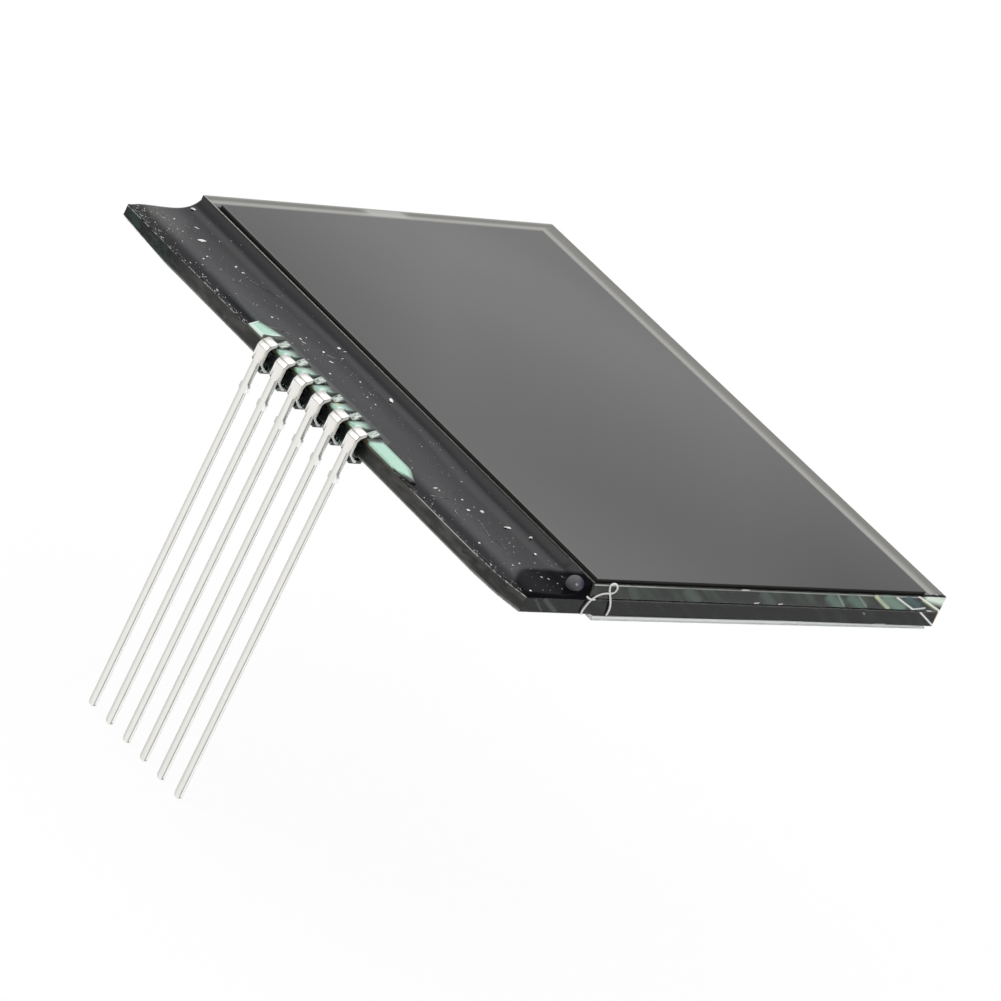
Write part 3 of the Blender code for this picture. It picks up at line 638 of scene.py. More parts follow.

# %% [markdown]
# ### The snapped faces of the front plate
# The near face is dark green with slanting lines, and painted streaks of reflection along them grow
# paler towards its right end, where they run together in a bright painted highlight at the corner.
# The arrises are frosted by tiny nicks, with painted highlight along them: a white line near the
# top, a faint one along the bottom, and a tan one along the step that turns paler towards the far end.

# %% Front glass: faces, arrises and streaks
face = y.fall(0.0, FACE_DEPTH)
height = (z - FRONT_UNDERSIDE) / -FRONT_UNDERSIDE
green = front.mix(slanted(front, x, z).step(0.42, 0.66), (0.011, 0.017, 0.013), (0.05, 0.074, 0.052))
green = front.mix(height.step(0.0, 0.45), (0.03, 0.032, 0.031), green)
front.lay(face * 0.85, green, Roughness=0.08, IOR=1.38)
cloud_far_sides(front, x, y, z.fall(-0.06, -0.03), (0.02, 0.034, 0.026), (0.07, 0.1, 0.08))
nicks = front.noise(5.0, 4.0, 0.7)
near_top = face * z.between(-0.18, -0.14, -0.09, -0.06)
line_light = x.fall(2.0, 8.0) * 0.45 + x.step(12.0, 28.0) * 0.25 + nicks * 0.3 + 0.2
near_low = y.fall(ARRIS * 0.6, ARRIS) * (z - FRONT_UNDERSIDE).fall(ARRIS * 0.6, ARRIS * 1.6)
far_top = y.step(GLASS_LENGTH - ARRIS, GLASS_LENGTH - ARRIS * 0.6) * z.step(-ARRIS, -ARRIS * 0.6)
# frost from tiny nicks, with painted highlight along the arrises
frost_and_highlight = near_top * line_light + near_low * nicks.step(0.4, 0.7) * 0.3 + far_top * 0.15
front.lay(frost_and_highlight.clamped(), (0.62, 0.64, 0.6), Roughness=0.5)
# the tan line along the step's arris, with painted highlight
tan = front.mix((y / GLASS_LENGTH).clamped(), (0.07, 0.065, 0.055), (0.5, 0.49, 0.45))
step_top = x.fall(0.09, 0.13) * top
front.lay(step_top * (nicks * 0.7 + 0.35).clamped(), tan, Roughness=0.5, IOR=1.2)
# painted reflections and highlights on the near face: start, end, width, colour and strength
PAINTED_STREAKS = [
    ((3.2, -0.3), (4.0, -1.0), 0.5, (0.07, 0.1, 0.08), 0.5),
    ((8.0, -0.3), (9.2, -1.0), 0.6, (0.08, 0.12, 0.09), 0.6),
    ((14.5, -0.3), (15.6, -1.0), 0.6, (0.08, 0.12, 0.1), 0.5),
    ((20.3, -0.3), (21.5, -0.98), 0.6, (0.12, 0.2, 0.16), 0.75),
    ((20.9, -0.15), (21.9, -0.95), 0.12, (0.3, 0.38, 0.32), 0.6),
    ((22.1, -0.3), (23.5, -0.95), 0.55, (0.1, 0.18, 0.14), 0.75),
    ((22.8, -0.2), (23.9, -0.95), 0.1, (0.28, 0.35, 0.3), 0.6),
    ((24.3, -0.15), (25.9, -1.0), 0.2, (0.62, 0.68, 0.42), 0.95),
    ((25.2, -0.2), (27.0, -1.0), 0.7, (0.2, 0.32, 0.25), 0.8),
    ((26.2, -0.18), (28.1, -1.0), 0.1, (0.85, 0.9, 0.88), 1.0),
    ((27.2, -0.25), (28.4, -0.7), 0.4, (0.03, 0.09, 0.09), 0.9),
    ((28.1, -1.0), (29.1, -0.88), 0.1, (0.8, 0.85, 0.82), 0.95),
    ((29.0, -0.1), (30.5, -0.35), 0.5, (0.85, 0.98, 0.85), 1.0),
    ((28.6, -0.3), (30.2, -0.95), 0.16, (0.35, 0.45, 0.25), 0.8),
    ((28.1, -0.05), (30.55, -1.05), 0.09, (1.0, 1.0, 0.93), 1.0),
    ((14.1, -1.0), (14.45, -0.96), 0.07, (0.8, 0.82, 0.8), 0.9),
    ((16.2, -1.0), (16.5, -0.97), 0.06, (0.8, 0.82, 0.8), 0.9),
    ((12.5, -0.05), (13.1, -0.03), 0.09, (0.9, 0.92, 0.9), 0.9),
]
draw_streaks(front, PAINTED_STREAKS, x, z, face)
dress("front_glass", front)
print("front glass nodes:", len(front.tree.nodes))

# %% [markdown]
# ### The rear plate
# The outer face of the ledge is smeared with resin: grey and pitted near us, black where the glue
# runs down it, and stained teal at the far end, with a pale line along its foot. Its arrises are
# frosted by nicks, with painted highlight, brightest along the top arris beside the pins. The near
# face is almost black, with painted streaks of reflection and a warm painted glint at its right end.

# %% Rear glass
rear, x, y, z = glass_finish("rear_glass_finish", (0.4, 0.6, 0.45), 0.2)
first_break = break_line(BREAK_START, BREAK_MIDDLE, y)
from_side = x - first_break.either(break_line(BREAK_MIDDLE, BREAK_END, y), 0.0) - LEDGE_EDGE
under_coat = x.fall(-0.1, 0.0) * z.step(REAR_TOP - FACE_DEPTH, REAR_TOP - 0.01)
near_floor = y.fall(2.0, 3.0) * x.fall(27.0, 29.0) * (z - REAR_UNDERSIDE).fall(0.01, FACE_DEPTH)
rear.lay(under_coat.either(near_floor), (0.012, 0.016, 0.014), Roughness=0.5)
rough = rear.noise(1.6, 5.0, 0.6, stretch=(1.0, 0.3, 1.6))
pits = rear.noise(0.8, 4.0, 0.65, stretch=(1.0, 0.7, 1.4))
stained = rear.mix(pits.step(0.42, 0.5), (0.012, 0.03, 0.026), (0.003, 0.006, 0.005))
low_line = (z - REAR_UNDERSIDE - rough * 0.1).fall(0.04, 0.17)
smeared = rear.layered(
    (0.028, 0.027, 0.026),
    (rough.step(0.38, 0.68), (0.072, 0.069, 0.062)),
    (pits.step(0.56, 0.66) * 0.6, (0.008, 0.009, 0.008)),
    (y.step(35.5, 38.5) * rough.step(0.36, 0.46), stained),
    (y.between(14.5, 15.5, 28.5, 30.5) * 0.7, (0.012, 0.015, 0.013)),
    (low_line * 0.7, (0.2, 0.225, 0.2)),
)
rear.lay(from_side.fall(0.015, 0.05) * 0.9, smeared, Roughness=0.45, IOR=1.3)
near_face = y.fall(0.0, FACE_DEPTH)
dull = rear.mix(slanted(rear, x, z).step(0.5, 0.72), (0.003, 0.0035, 0.004), (0.02, 0.024, 0.024))
rear.lay(near_face * 0.9, dull, Roughness=0.08, IOR=1.33)
cloud_far_sides(rear, x, y, 1.0, (0.012, 0.02, 0.016), (0.05, 0.07, 0.058))
nicks = rear.noise(4.0, 5.0, 0.75)
outer_arris = from_side.fall(ARRIS * 0.7, ARRIS)
top_arris = outer_arris * z.step(REAR_TOP - ARRIS, REAR_TOP - ARRIS * 0.5)
low_arris = outer_arris * (z - REAR_UNDERSIDE).fall(ARRIS * 0.5, ARRIS * 1.4)
near_top = y.fall(ARRIS * 0.6, ARRIS) * z.step(REAR_TOP - ARRIS, REAR_TOP - ARRIS * 0.6) * x.step(-0.2, 0.2)
# a painted highlight along the top arris beside the pins
arris_highlight_part = y.between(4.0, 5.0, 10.6, 11.4)
frost_and_highlight = top_arris * nicks.step(0.45, 0.6).either(arris_highlight_part) * 0.8
frost_and_highlight = frost_and_highlight + low_arris * nicks.step(0.35, 0.65) * 0.7 + near_top * nicks * 0.3
rear.lay(frost_and_highlight.clamped(), (0.6, 0.63, 0.58), Roughness=0.5)
# painted reflections on the near face, with a warm painted glint at its right end
REAR_PAINTED_STREAKS = [
    ((-3.4, -1.3), (-2.2, -2.1), 0.25, (0.09, 0.11, 0.1), 0.5),
    ((-4.2, -1.3), (-3.3, -2.1), 0.14, (0.07, 0.09, 0.08), 0.5),
    ((28.9, -1.2), (30.5, -2.1), 0.09, (0.95, 0.96, 0.92), 1.0),
    ((25.3, -2.2), (26.3, -2.18), 0.05, (0.8, 0.82, 0.8), 0.8),
    ((23.9, -1.4), (24.1, -1.5), 0.08, (0.35, 0.3, 0.2), 0.7),
    ((30.5, -1.15), (30.58, -2.1), 0.1, (0.9, 0.62, 0.3), 0.8),
]
draw_streaks(rear, REAR_PAINTED_STREAKS, x, z, near_face)
dress("rear_glass", rear)
print("rear glass nodes:", len(rear.tree.nodes))

# %% [markdown]
# ## Polariser
# The front polariser is a satin plastic film, almost black by itself. At this low angle it mirrors
# a good part of the white room, and its fine matte surface spreads that into an even grey. Painted
# shading in its colour makes it a little darker towards the near right corner, and a painted
# highlight lightens its left rim. It was laid a little askew, so it is drawn from its six measured
# corners, with a softened rim and the thin layers showing in its cut sides.

# %% Front polariser
sheet_low, sheet_high = (millimetres(corner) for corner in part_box("front_polariser"))
film = Finish("front_polariser_finish").set(IOR=1.5)
x, y, z = film.axes()
fine = film.noise(26.0, 2.0)
cloud = film.noise(0.09, 2.0)
# painted shading: the film's colour along its diagonal, darker towards the near right corner
PAINTED_SHADING = [(0.0, 0.036), (0.28, 0.07), (0.5, 0.052), (0.74, 0.042), (0.88, 0.014), (1.0, 0.003)]
along = (x * 12.0 - y * 9.0 + 330.0) / 660.0  # 0 at the far left corner, 1 at the near right one
stops = [(place, (shade * 1.02, shade * 0.98, shade * 0.98)) for place, shade in PAINTED_SHADING]
painted_shading_ramp = film.node("ShaderNodeValToRGB", {"stops": stops}, {"Fac": along.clamped()})
# a painted highlight along the left rim
left_rim_highlight = (x - film_left_edge(y)).fall(0.04, 0.18)
shades = [(cloud.step(0.3, 0.7) * 0.12, (0.034, 0.033, 0.034)), (left_rim_highlight * 0.7, (0.1, 0.098, 0.09))]
film.set(Base_Color=film.layered(painted_shading_ramp, *shades))
film.set(Roughness=fine * 0.06 + cloud * 0.05 + 0.26)
film.set(Normal=film.bump(fine, 0.3, 0.004))
strata = film.noise(1.0, 3.0, stretch=(0.3, 0.3, 6.0))
layers = film.mix(strata, (0.014, 0.014, 0.013), (0.045, 0.044, 0.04))
film.lay((z - sheet_high.z).fall(-0.03, -0.01), layers, Roughness=0.4, IOR=1.15)
sheet = bmesh.new()
outline = sheet.faces.new([sheet.verts.new((x, y, sheet_low.z)) for x, y in FILM_OUTLINE])
lifted = extruded_verts(sheet, [outline])
bmesh.ops.translate(sheet, vec=(0.0, 0.0, sheet_high.z - sheet_low.z), verts=lifted)
bmesh.ops.recalc_face_normals(sheet, faces=sheet.faces)
rim_edges = [edge for edge in sheet.edges if all(vert in lifted for vert in edge.verts)]
bmesh.ops.bevel(sheet, geom=rim_edges, offset=0.015, affect="EDGES", segments=2, profile=0.5, material=-1)
print(f"polariser {sheet_high.z - sheet_low.z:.2f} mm thick")
add_piece("film_sheet", sheet, film, ("front_polariser",))

# %% [markdown]
# ## Rear sheets
# The rear polariser carries a pale reflecting layer, so that the border of the glass looks light
# from above, and a thin clear peel-off film still covers it.

# %% Rear polariser and cover film
rear_film = Finish("rear_polariser_finish").set(IOR=1.3, Roughness=0.4)
z = rear_film.axis("Z")
sheet_top = z.step(REAR_UNDERSIDE - 0.04, REAR_UNDERSIDE - 0.02)
silvered = rear_film.mix(rear_film.noise(0.2), (0.3, 0.29, 0.27), (0.34, 0.33, 0.31))
rear_film.set(Base_Color=rear_film.mix(sheet_top, (0.86, 0.87, 0.87), silvered))
dress("rear_polariser", rear_film)
clear = {"Transmission_Weight": 0.6, "IOR": 1.3}
peel_off = mottled("cover_film_finish", (0.4,), (0.9, 0.93, 0.93), (0.96, 0.98, 0.98), **clear)
peel_off.set(Roughness=peel_off.noise(1.2, 3.0).step(0.4, 0.8) * 0.08 + 0.03)
dress("rear_protective_film", peel_off)

# %% [markdown]
# ## Inside the cell
# Between the plates lie the glue ring, the liquid crystal, two drops of silver paste and, on the
# ledge, the bare chip on its amber film. Little of them shows, and each still has its own surface,
# as has the drop of clear resin that closes the port.

# %% Cell filling
seal = mottled("seal_finish", (3.0, 3.0), (0.5, 0.5, 0.46), (0.58, 0.58, 0.54), Roughness=0.5)
crystal = mottled("liquid_crystal_finish", (0.2,), (0.03, 0.032, 0.03), (0.04, 0.042, 0.04), Roughness=0.3)
silver = mottled("silver_paste_finish", (8.0,), (0.5, 0.49, 0.46), (0.72, 0.71, 0.69), Metallic=0.9)
silver.set(Roughness=silver.noise(12.0) * 0.2 + 0.35)
die = mottled("silicon_finish", (1.0,), (0.08, 0.08, 0.1), (0.13, 0.13, 0.15), Metallic=0.6, Roughness=0.2)
amber = mottled("bonding_film_finish", (9.0,), (0.35, 0.26, 0.12), (0.45, 0.36, 0.2), Roughness=0.4)
resin = mottled("plug_resin_finish", (2.0,), (0.75, 0.78, 0.7), (0.85, 0.87, 0.8), Roughness=0.15)
resin.set(Transmission_Weight=0.5)
FILLINGS = {
    "perimeter_seal": seal,
    "liquid_crystal": crystal,
    "crossover_dot_near": silver,
    "crossover_dot_far": silver,
    "driver_chip": die,
    "chip_bonding_film": amber,
    "fill_port_plug": resin,
}
for node, finish in FILLINGS.items():
    dress(node, finish)
print("pieces dressed inside the cell:", len(FILLINGS))

# %% [markdown]
# ## Black protective coat
# A black resin is brushed over the ledge to keep damp off the contacts. It wets the step of the
# front glass and climbs it in a hollow curve, covers the chip in a low mound, and ends in a thin
# rounded edge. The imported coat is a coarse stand-in, so a finer skin with the same levels takes its
# place. Near the corner a wetter pool dried glossier and blacker.

# %% Coat shape
chip_low, chip_high = (millimetres(corner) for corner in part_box("driver_chip"))
COAT_MIDDLE = 0.06
RIM_RISE = 0.14
RIM_PLACE = LEDGE_EDGE + 1.0
RIM_SPREAD = (0.8, 2.0)  # outside and inside its crest
FILLET_RISE = 1.02
FILLET_REACH = 0.62
MOUND_RISE = chip_high.z - REAR_TOP - COAT_MIDDLE + 0.045
MOUND_SPREAD = 2.0
MOUND_RUN = 8.0
POOL_PEAK = (-2.52, 3.05)
POOL_LEFT_BEND = 0.229
POOL_RIGHT_BEND = 0.061
POOL_RISE = 0.03
POOL_LEVEL = -0.95
POOL_CLIMB = 1.45  # how much sooner it ends, for each millimetre that the coat climbs
COAT_END = 0.2  # the width of its rounded edge
END_SHARE = 0.25  # of its level, right at the edge
COAT_TOP = -0.06  # it stops just under the top of the front glass


def pool_depth(x, y):
    """How far a point lies inside the glossy pool, along the ledge."""
    bend = POOL_LEFT_BEND if x < POOL_PEAK[0] else POOL_RIGHT_BEND
    return POOL_PEAK[1] - bend * (x - POOL_PEAK[0]) ** 2 - y


def coat_level(x, y):
    """The coat's top above the ledge, in millimetres."""
    spread = RIM_SPREAD[0] if x < RIM_PLACE else RIM_SPREAD[1]
    level = COAT_MIDDLE + RIM_RISE * math.exp(-(((x - RIM_PLACE) / spread) ** 2))
    level += FILLET_RISE * math.exp(x / FILLET_REACH)
    beyond = max(chip_low.y - y, y - chip_high.y, 0.0)
    beside = (x - (chip_low.x + chip_high.x) / 2) / MOUND_SPREAD
    level += MOUND_RISE * math.exp(-beside * beside) * soft(1.0 - beyond / MOUND_RUN)
    level += POOL_RISE * soft(pool_depth(x, y), 0.0, 0.5)
    level += 0.012 * noise.noise(Vector((x * 0.5, y * 0.25, 0.0)))
    inward = max(min(x - ledge_side(y), y, GLASS_LENGTH - y), 0.0)
    return level * (END_SHARE + (1.0 - END_SHARE) * math.sqrt(min(inward / COAT_END, 1.0)))


def on_coat(x, y):
    return Vector((x, y, min(REAR_TOP + coat_level(x, y), COAT_TOP)))


def coat_point(u, v):
    """A point of the skin, on a grid that is finer at the near end and beside the front glass."""
    y = v**1.3 * GLASS_LENGTH
    low = ledge_side(y) + 0.02
    return on_coat(low + (1.0 - (1.0 - u) ** 1.25) * (-0.02 - low), y)


# %% [markdown]
# ### Its surface
# The coat is black and glossy, so what we see is the pale room in it, weaker where the surface turns
# to face us. Fine noise keeps the gloss from being perfect. The pool, the outer rim and the streak
# beside the mint wedge reflect less, which a second, duller surface does through a mask. The far tip
# is stained olive, and a painted teal reflection of the wedge runs on from it.

# %% Coat finish
coat = Finish("ledge_coating_finish").set(IOR=1.4)
x, y, z = coat.axes()
blotch = coat.noise(0.35, 3.0, 0.6, stretch=(1.0, 0.4, 1.0))
speckle = coat.noise(5.0, 4.0, 0.75)
olive = coat.mix(speckle.step(0.45, 0.7), (0.01, 0.01, 0.007), (0.1, 0.095, 0.075))
tip = y.step(38.5, 43.0) * x.fall(-4.2, -2.6)
# a painted reflection of the mint wedge, in teal
teal_reflection = (x - (y - 29.5) * 0.05).near(-4.75, 0.05, 0.35) * y.between(28.5, 29.8, 30.5, 34.5)
black = coat.layered(
    (0.003, 0.003, 0.0045),
    (blotch, (0.009, 0.009, 0.0125)),
    (tip * 0.8, olive),
    (teal_reflection * 0.8, (0.03, 0.06, 0.055)),
)
coat.set(Base_Color=black)
coat.set(Roughness=blotch * 0.12 + 0.2)
coat.set(Normal=coat.bump(coat.noise(6.0, 4.0, 0.6), 0.3, 0.01))
left = (x - POOL_PEAK[0]).maths("MINIMUM", 0.0)
right = (x - POOL_PEAK[0]).either(0.0)
climb = (z - POOL_LEVEL).either(0.0) * POOL_CLIMB
depth = POOL_PEAK[1] - left * left * POOL_LEFT_BEND - right * right * POOL_RIGHT_BEND - y - climb
pool = depth.step(-0.15, 0.45) * (x + blotch * 0.6).step(-5.1, -4.7)
beside_wedge = x.near(-5.3, 0.1, 0.5) * y.between(28.5, 30.0, 32.0, 37.0) * 0.8
rim = (x - LEDGE_EDGE - speckle * 0.5).fall(0.1, 1.4) * 0.55
foot = x.step(-1.7, -0.9) * 0.1
duller = pool.either(beside_wedge, rim, foot)
coat.lay(duller, (0.005, 0.005, 0.0065), Roughness=0.15, IOR=1.07)
coat_skin = skin(100, 440, coat_point, REAR_TOP + 0.005)
add_piece("coat_skin", coat_skin, coat, ("ledge_coating",), 60.0)

# %% [markdown]
# ### Its blister
# A bead of air lifted the resin into a round milky blister before it set. It is a ball that is cut
# flat where it meets the ledge. Painted shade makes its right side darker and violet, and one small
# glint is painted on it.

# %% Blister
BLISTER = (-0.68, 0.82, -0.66)
BLISTER_RADIUS = 0.57
GLINT = (-0.99, 0.4, -0.4)
bead = bmesh.new()
bmesh.ops.create_uvsphere(bead, u_segments=40, v_segments=24, radius=BLISTER_RADIUS)
bmesh.ops.translate(bead, vec=BLISTER, verts=bead.verts)
everything = bead.verts[:] + bead.edges[:] + bead.faces[:]
cut = {"plane_co": (0.0, 0.0, REAR_TOP + 0.02), "plane_no": (0.0, 0.0, -1.0)}
bmesh.ops.bisect_plane(bead, geom=everything, clear_outer=True, **cut)
bmesh.ops.edgeloop_fill(bead, edges=[edge for edge in bead.edges if edge.is_boundary])
milk = Finish("blister_finish").set(Roughness=0.5, IOR=1.2)
x, y, z = milk.axes()
# painted shade makes the right side darker and violet, and a painted glint is added
to_the_right = (x - BLISTER[0]) * 0.725 - (y - BLISTER[1]) * 0.559 + (z - BLISTER[2]) * 0.403
violet_shade = to_the_right.step(0.22, 0.5)
cloudy = milk.mix(milk.noise(1.5, 2.0), (0.1, 0.1, 0.105), (0.125, 0.125, 0.132))
glint = distance((x, y, z), GLINT).fall(0.03, 0.12)
milky_with_painted_light = milk.layered(cloudy, (violet_shade, (0.05, 0.047, 0.085)), (glint * 0.8, (0.5, 0.5, 0.55)))
milk.set(Base_Color=milky_with_painted_light)
print("blister of", len(bead.faces), "faces")
add_piece("blister", bead, milk)

# %% [markdown]
# ## Dust and fibres
# The coat is covered in pale dust. Each flake is a small ball that is dented at random, flattened
# and laid on the coat. The largest ones are placed one by one.

# %% Flakes
random.seed(11)
FLAKES = [
    (-2.43, 39.68, 0.62, 0.26, 0.0), (-3.01, 42.13, 0.26, 0.08, 0.8), (-1.79, 41.2, 0.26, 0.08, -0.9),
    (-1.79, 36.62, 0.16, 0.12, 0.4), (-1.69, 35.93, 0.2, 0.1, -0.8), (-3.48, 37.61, 0.12, 0.1, 0.0),
    (-4.06, 37.25, 0.14, 0.08, 0.7), (-3.22, 30.52, 0.14, 0.12, 0.0), (-2.8, 27.93, 0.16, 0.1, -0.8),
    (-2.86, 27.5, 0.3, 0.06, -0.9), (-2.17, 25.31, 0.3, 0.16, -0.9), (-3.3, 23.93, 0.16, 0.1, 0.0),
    (-1.99, 26.45, 0.16, 0.12, 0.3), (-1.42, 23.11, 0.1, 0.08, 0.0), (-1.01, 25.68, 0.14, 0.06, 0.2),
    (-2.03, 20.56, 0.1, 0.08, 0.0), (-0.6, 20.8, 0.34, 0.3, 0.3), (-2.12, 21.37, 0.1, 0.08, 0.6),
    (-3.87, 11.45, 0.3, 0.12, 0.2), (-3.7, 11.2, 0.16, 0.1, 0.9), (-1.03, 7.22, 0.5, 0.18, -0.3),
    (-2.82, 9.21, 0.2, 0.14, -0.4), (-1.77, 9.09, 0.24, 0.2, 0.9), (-4.8, 5.45, 0.12, 0.1, 0.0),
    (-2.42, 10.36, 0.14, 0.1, 0.3), (-0.45, 5.76, 0.34, 0.14, 0.2), (-1.04, 4.37, 0.22, 0.14, 0.3),
    (-3.8, 3.15, 0.12, 0.1, 0.0), (-3.02, 3.46, 0.12, 0.08, 0.5), (-4.57, 0.35, 0.14, 0.12, 0.0),
    (-2.34, 2.01, 0.14, 0.06, -0.9), (-1.91, 1.81, 0.12, 0.06, -0.9), (-1.57, 1.3, 0.08, 0.08, 0.0),
    (-0.6, 26.7, 0.3, 0.2, 0.4), (-0.5, 26.2, 0.34, 0.06, 0.0), (-1.14, 12.2, 0.12, 0.08, 0.0),
    (-0.75, 43.2, 0.3, 0.25, 0.0),
]


def flake(into, x, y, length, width, turn, thickness):
    """One crumb: a small ball, flattened, roughened and laid on the coat."""
    made = bmesh.ops.create_icosphere(into, subdivisions=1, radius=0.5)["verts"]
    for vert in made:
        vert.co *= 0.75 + 0.5 * random.random()
    bmesh.ops.scale(into, vec=(length, width, thickness), verts=made)
    spin = Matrix.Rotation(turn, 4, "Z") @ Matrix.Rotation(random.uniform(-0.2, 0.2), 4, "X")
    bmesh.ops.transform(into, matrix=Matrix.Translation(on_coat(x, y)) @ spin, verts=made)


FLAKE_GROWTH = (1.4, 1.5, 0.07)  # the spots were measured between their bright cores
dust = bmesh.new()
for x, y, length, width, turn in FLAKES:
    flake(dust, x, y, length * FLAKE_GROWTH[0], width * FLAKE_GROWTH[1], turn, FLAKE_GROWTH[2])
print("flakes:", len(FLAKES))

# %% [markdown]
# ### Crumbs and hairs
# Small crumbs are scattered with the same seeded generator, so that each run gives the same dust:
# all over the coat, in a crowd at its far tip, and along its outer edge beside the row of pins. The
# hairs are thin tubes that follow the coat.

# %% Fine dust
fine_dust = bmesh.new()
SCATTER = 520
for _ in range(SCATTER):
    y = random.uniform(0.4, 43.2)
    x = random.uniform(ledge_side(y) + 0.2, -0.3)
    size = 0.025 + 0.06 * random.random() ** 3
    flake(fine_dust, x, y, size * random.uniform(1.0, 2.6), size, random.uniform(-1.5, 1.5), 0.02)
TIP_CRUMBS = 150
for _ in range(TIP_CRUMBS):
    y = 43.6 - 3.4 * random.random() ** 1.4
    x = LEDGE_EDGE + 0.08 + random.random() ** 1.7 * 2.4
    size = 0.03 + 0.07 * random.random() ** 2
    flake(fine_dust, x, y, size * random.uniform(1.0, 1.8), size, random.uniform(-1.5, 1.5), 0.03)
EDGE_CRUMBS = 260
for _ in range(EDGE_CRUMBS):
    y = random.uniform(0.5, 43.0)
    if PIN_YS[-1] - 1.0 < y < PIN_YS[0] + 2.6:
        continue
    size = 0.02 + 0.06 * random.random() ** 2
    x = ledge_side(y) + 0.03 + 0.25 * random.random() ** 2
    flake(fine_dust, x, y, size, size * random.uniform(1.5, 4.0), 0.0, 0.03)
HAIRS = [
    [(-3.28, 34.9), (-3.13, 34.64), (-2.81, 34.71), (-2.42, 35.13)],
    [(-2.3, 26.6), (-2.1, 26.2), (-1.7, 26.0), (-1.5, 25.6), (-1.2, 25.5)],
    [(-1.9, 35.2), (-1.5, 34.6), (-1.25, 33.9), (-0.9, 32.8)],
    [(-3.1, 4.6), (-2.9, 5.1), (-3.0, 5.6), (-3.3, 6.2), (-3.2, 6.8), (-3.0, 7.4)],
    [(-4.3, 8.4), (-4.2, 8.8), (-4.0, 9.2), (-3.6, 9.2), (-3.2, 9.4)],
    [(-4.6, 29.5), (-3.9, 29.0), (-3.2, 28.4)],
    [(-4.9, 10.6), (-4.1, 10.3), (-3.4, 10.35)],
]
HAIR_RADIUS = 0.011
for hair in HAIRS:
    absorb(fine_dust, tube([on_coat(x, y) + Vector((0.0, 0.0, 0.01)) for x, y in hair], HAIR_RADIUS))
print("fine dust of", len(fine_dust.faces), "faces")
lint = Finish("dust_finish").set(Roughness=0.8)
lint.set(Base_Color=lint.mix(lint.noise(3.0, 2.0).step(0.35, 0.65), (0.55, 0.54, 0.52), (0.9, 0.9, 0.88)))
add_piece("dust", dust, lint)
grey = Finish("fine_dust_finish").set(Roughness=0.8)
grey.set(Base_Color=grey.mix(grey.noise(2.6, 2.0).step(0.38, 0.66), (0.07, 0.07, 0.07), (0.75, 0.75, 0.73)))
add_piece("fine_dust", fine_dust, grey)

# %% [markdown]
# ### The curled fibre
# It hangs in front of the near face in one loop, with a short sprig across it. Both are tubes along
# a smooth curve, in a plane just clear of the glass, and the loop sways a little out of that plane.

# %% Curled fibre
FIBRE = [
    (0.0, -2.2), (-0.11, -1.97), (-0.09, -1.77), (-0.02, -1.53), (0.09, -1.28), (0.25, -1.1),
    (0.42, -0.96), (0.64, -0.81), (0.98, -0.7), (1.36, -0.64), (1.76, -0.67), (1.97, -0.54),
    (2.0, -0.3), (1.82, -0.04), (1.52, 0.1), (1.3, 0.02), (1.27, -0.17), (1.4, -0.42),
    (1.59, -0.72), (1.81, -1.07), (2.01, -1.51), (2.1, -1.86), (2.09, -2.2),
]
SPRIG = [(-0.26, -0.89), (-0.07, -1.03), (0.18, -1.11), (0.47, -1.07)]
FIBRE_RADIUS = 0.062
fibre = bmesh.new()
absorb(fibre, tube([(x, -0.08 - 0.05 * math.sin(3.0 * z), z) for x, z in FIBRE], FIBRE_RADIUS))
absorb(fibre, tube([(x, -0.12, z) for x, z in SPRIG], FIBRE_RADIUS * 0.9))
print("fibre of", len(fibre.faces), "faces")
white = mottled("fibre_finish", (4.0,), (0.78, 0.77, 0.74), (0.9, 0.9, 0.88), Roughness=0.7)
add_piece("curled_fibre", fibre, white)

# %% [markdown]
# ## Tin
# The pins are stamped from strip and tin plated. Matt tin is pale and a little warm. Each crease of
# the bent finger gets a thin brownish line of painted shade, and painted shade makes the stamped
# arrises darker than the faces beside them. The pins repeat at an even pitch, so one modulo gives
# every pin its own middle line.

# %% Places on a pin
# the creases' lines of painted shade: place, width and strength
CREASE_SHADE_LINES = [((-6.3, -0.76), 0.085, 0.65), ((-6.5, -1.07), 0.05, 0.5)]
PLATE_FACE = -6.5
PLATE_HALF = 0.5
SHANK_HALF = 0.31
SPLAY = math.tan(math.radians(0.89))  # the shanks lean a little outwards
NOTCH_Z = -1.85
NOTCH_DROP = 0.22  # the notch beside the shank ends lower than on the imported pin
SHOULDER = (-4.3, -3.65)


def from_pin(y, before):
    """A place along the row, counted from a pin's middle line and from -before to the next pin's."""
    return (y - PIN_YS[-1] + PIN_PITCH * 10.0 + before).maths("MODULO", PIN_PITCH) - before


tin = Finish("tin_finish")
x, y, z = tin.axes()
notch = NOTCH_Z - NOTCH_DROP
across = from_pin(y, PIN_PITCH / 2)
toward_us = across * -1.0
half = z.step(notch - 0.02, notch) * (PLATE_HALF - SHANK_HALF) + SHANK_HALF
narrow_side = (toward_us - half).step(-0.008, -0.002)
shank = z.fall(notch - 0.1, notch)
shoulder = z.between(SHOULDER[0], SHOULDER[0] + 0.05, SHOULDER[1] - 0.05, SHOULDER[1])
# painted shade along the stamped arrises
arris_shade = (toward_us - half).near(-0.04, 0.012, 0.05) * (1.0 - shoulder)
into_plate = x - PLATE_FACE + (NOTCH_Z - z).either(0.0) * SPLAY
back_shade_line = narrow_side * into_plate.step(0.19, 0.235) * shank
upper = z.step(notch, -1.4)
shade_past_crease = x.between(-6.3, -6.26, -6.15, -5.95) * upper
warm = x.fall(-6.45, -6.3) * across.fall(-0.5, -0.1) * upper
toe = x.step(-5.4, -5.15)
leg = across.maths("ABSOLUTE").step(0.335, 0.36) * z.step(-3.2, -3.0)
broad_leg = z.fall(notch - 0.04, notch - 0.01) * toward_us.fall(0.485, 0.495)
behind = x.step(-5.8, -5.65) * z.fall(-2.3, -2.2)
shade = leg * broad_leg.either(behind)
print(f"pins repeat every {PIN_PITCH:.2f} mm, notch at {notch:.2f} mm")
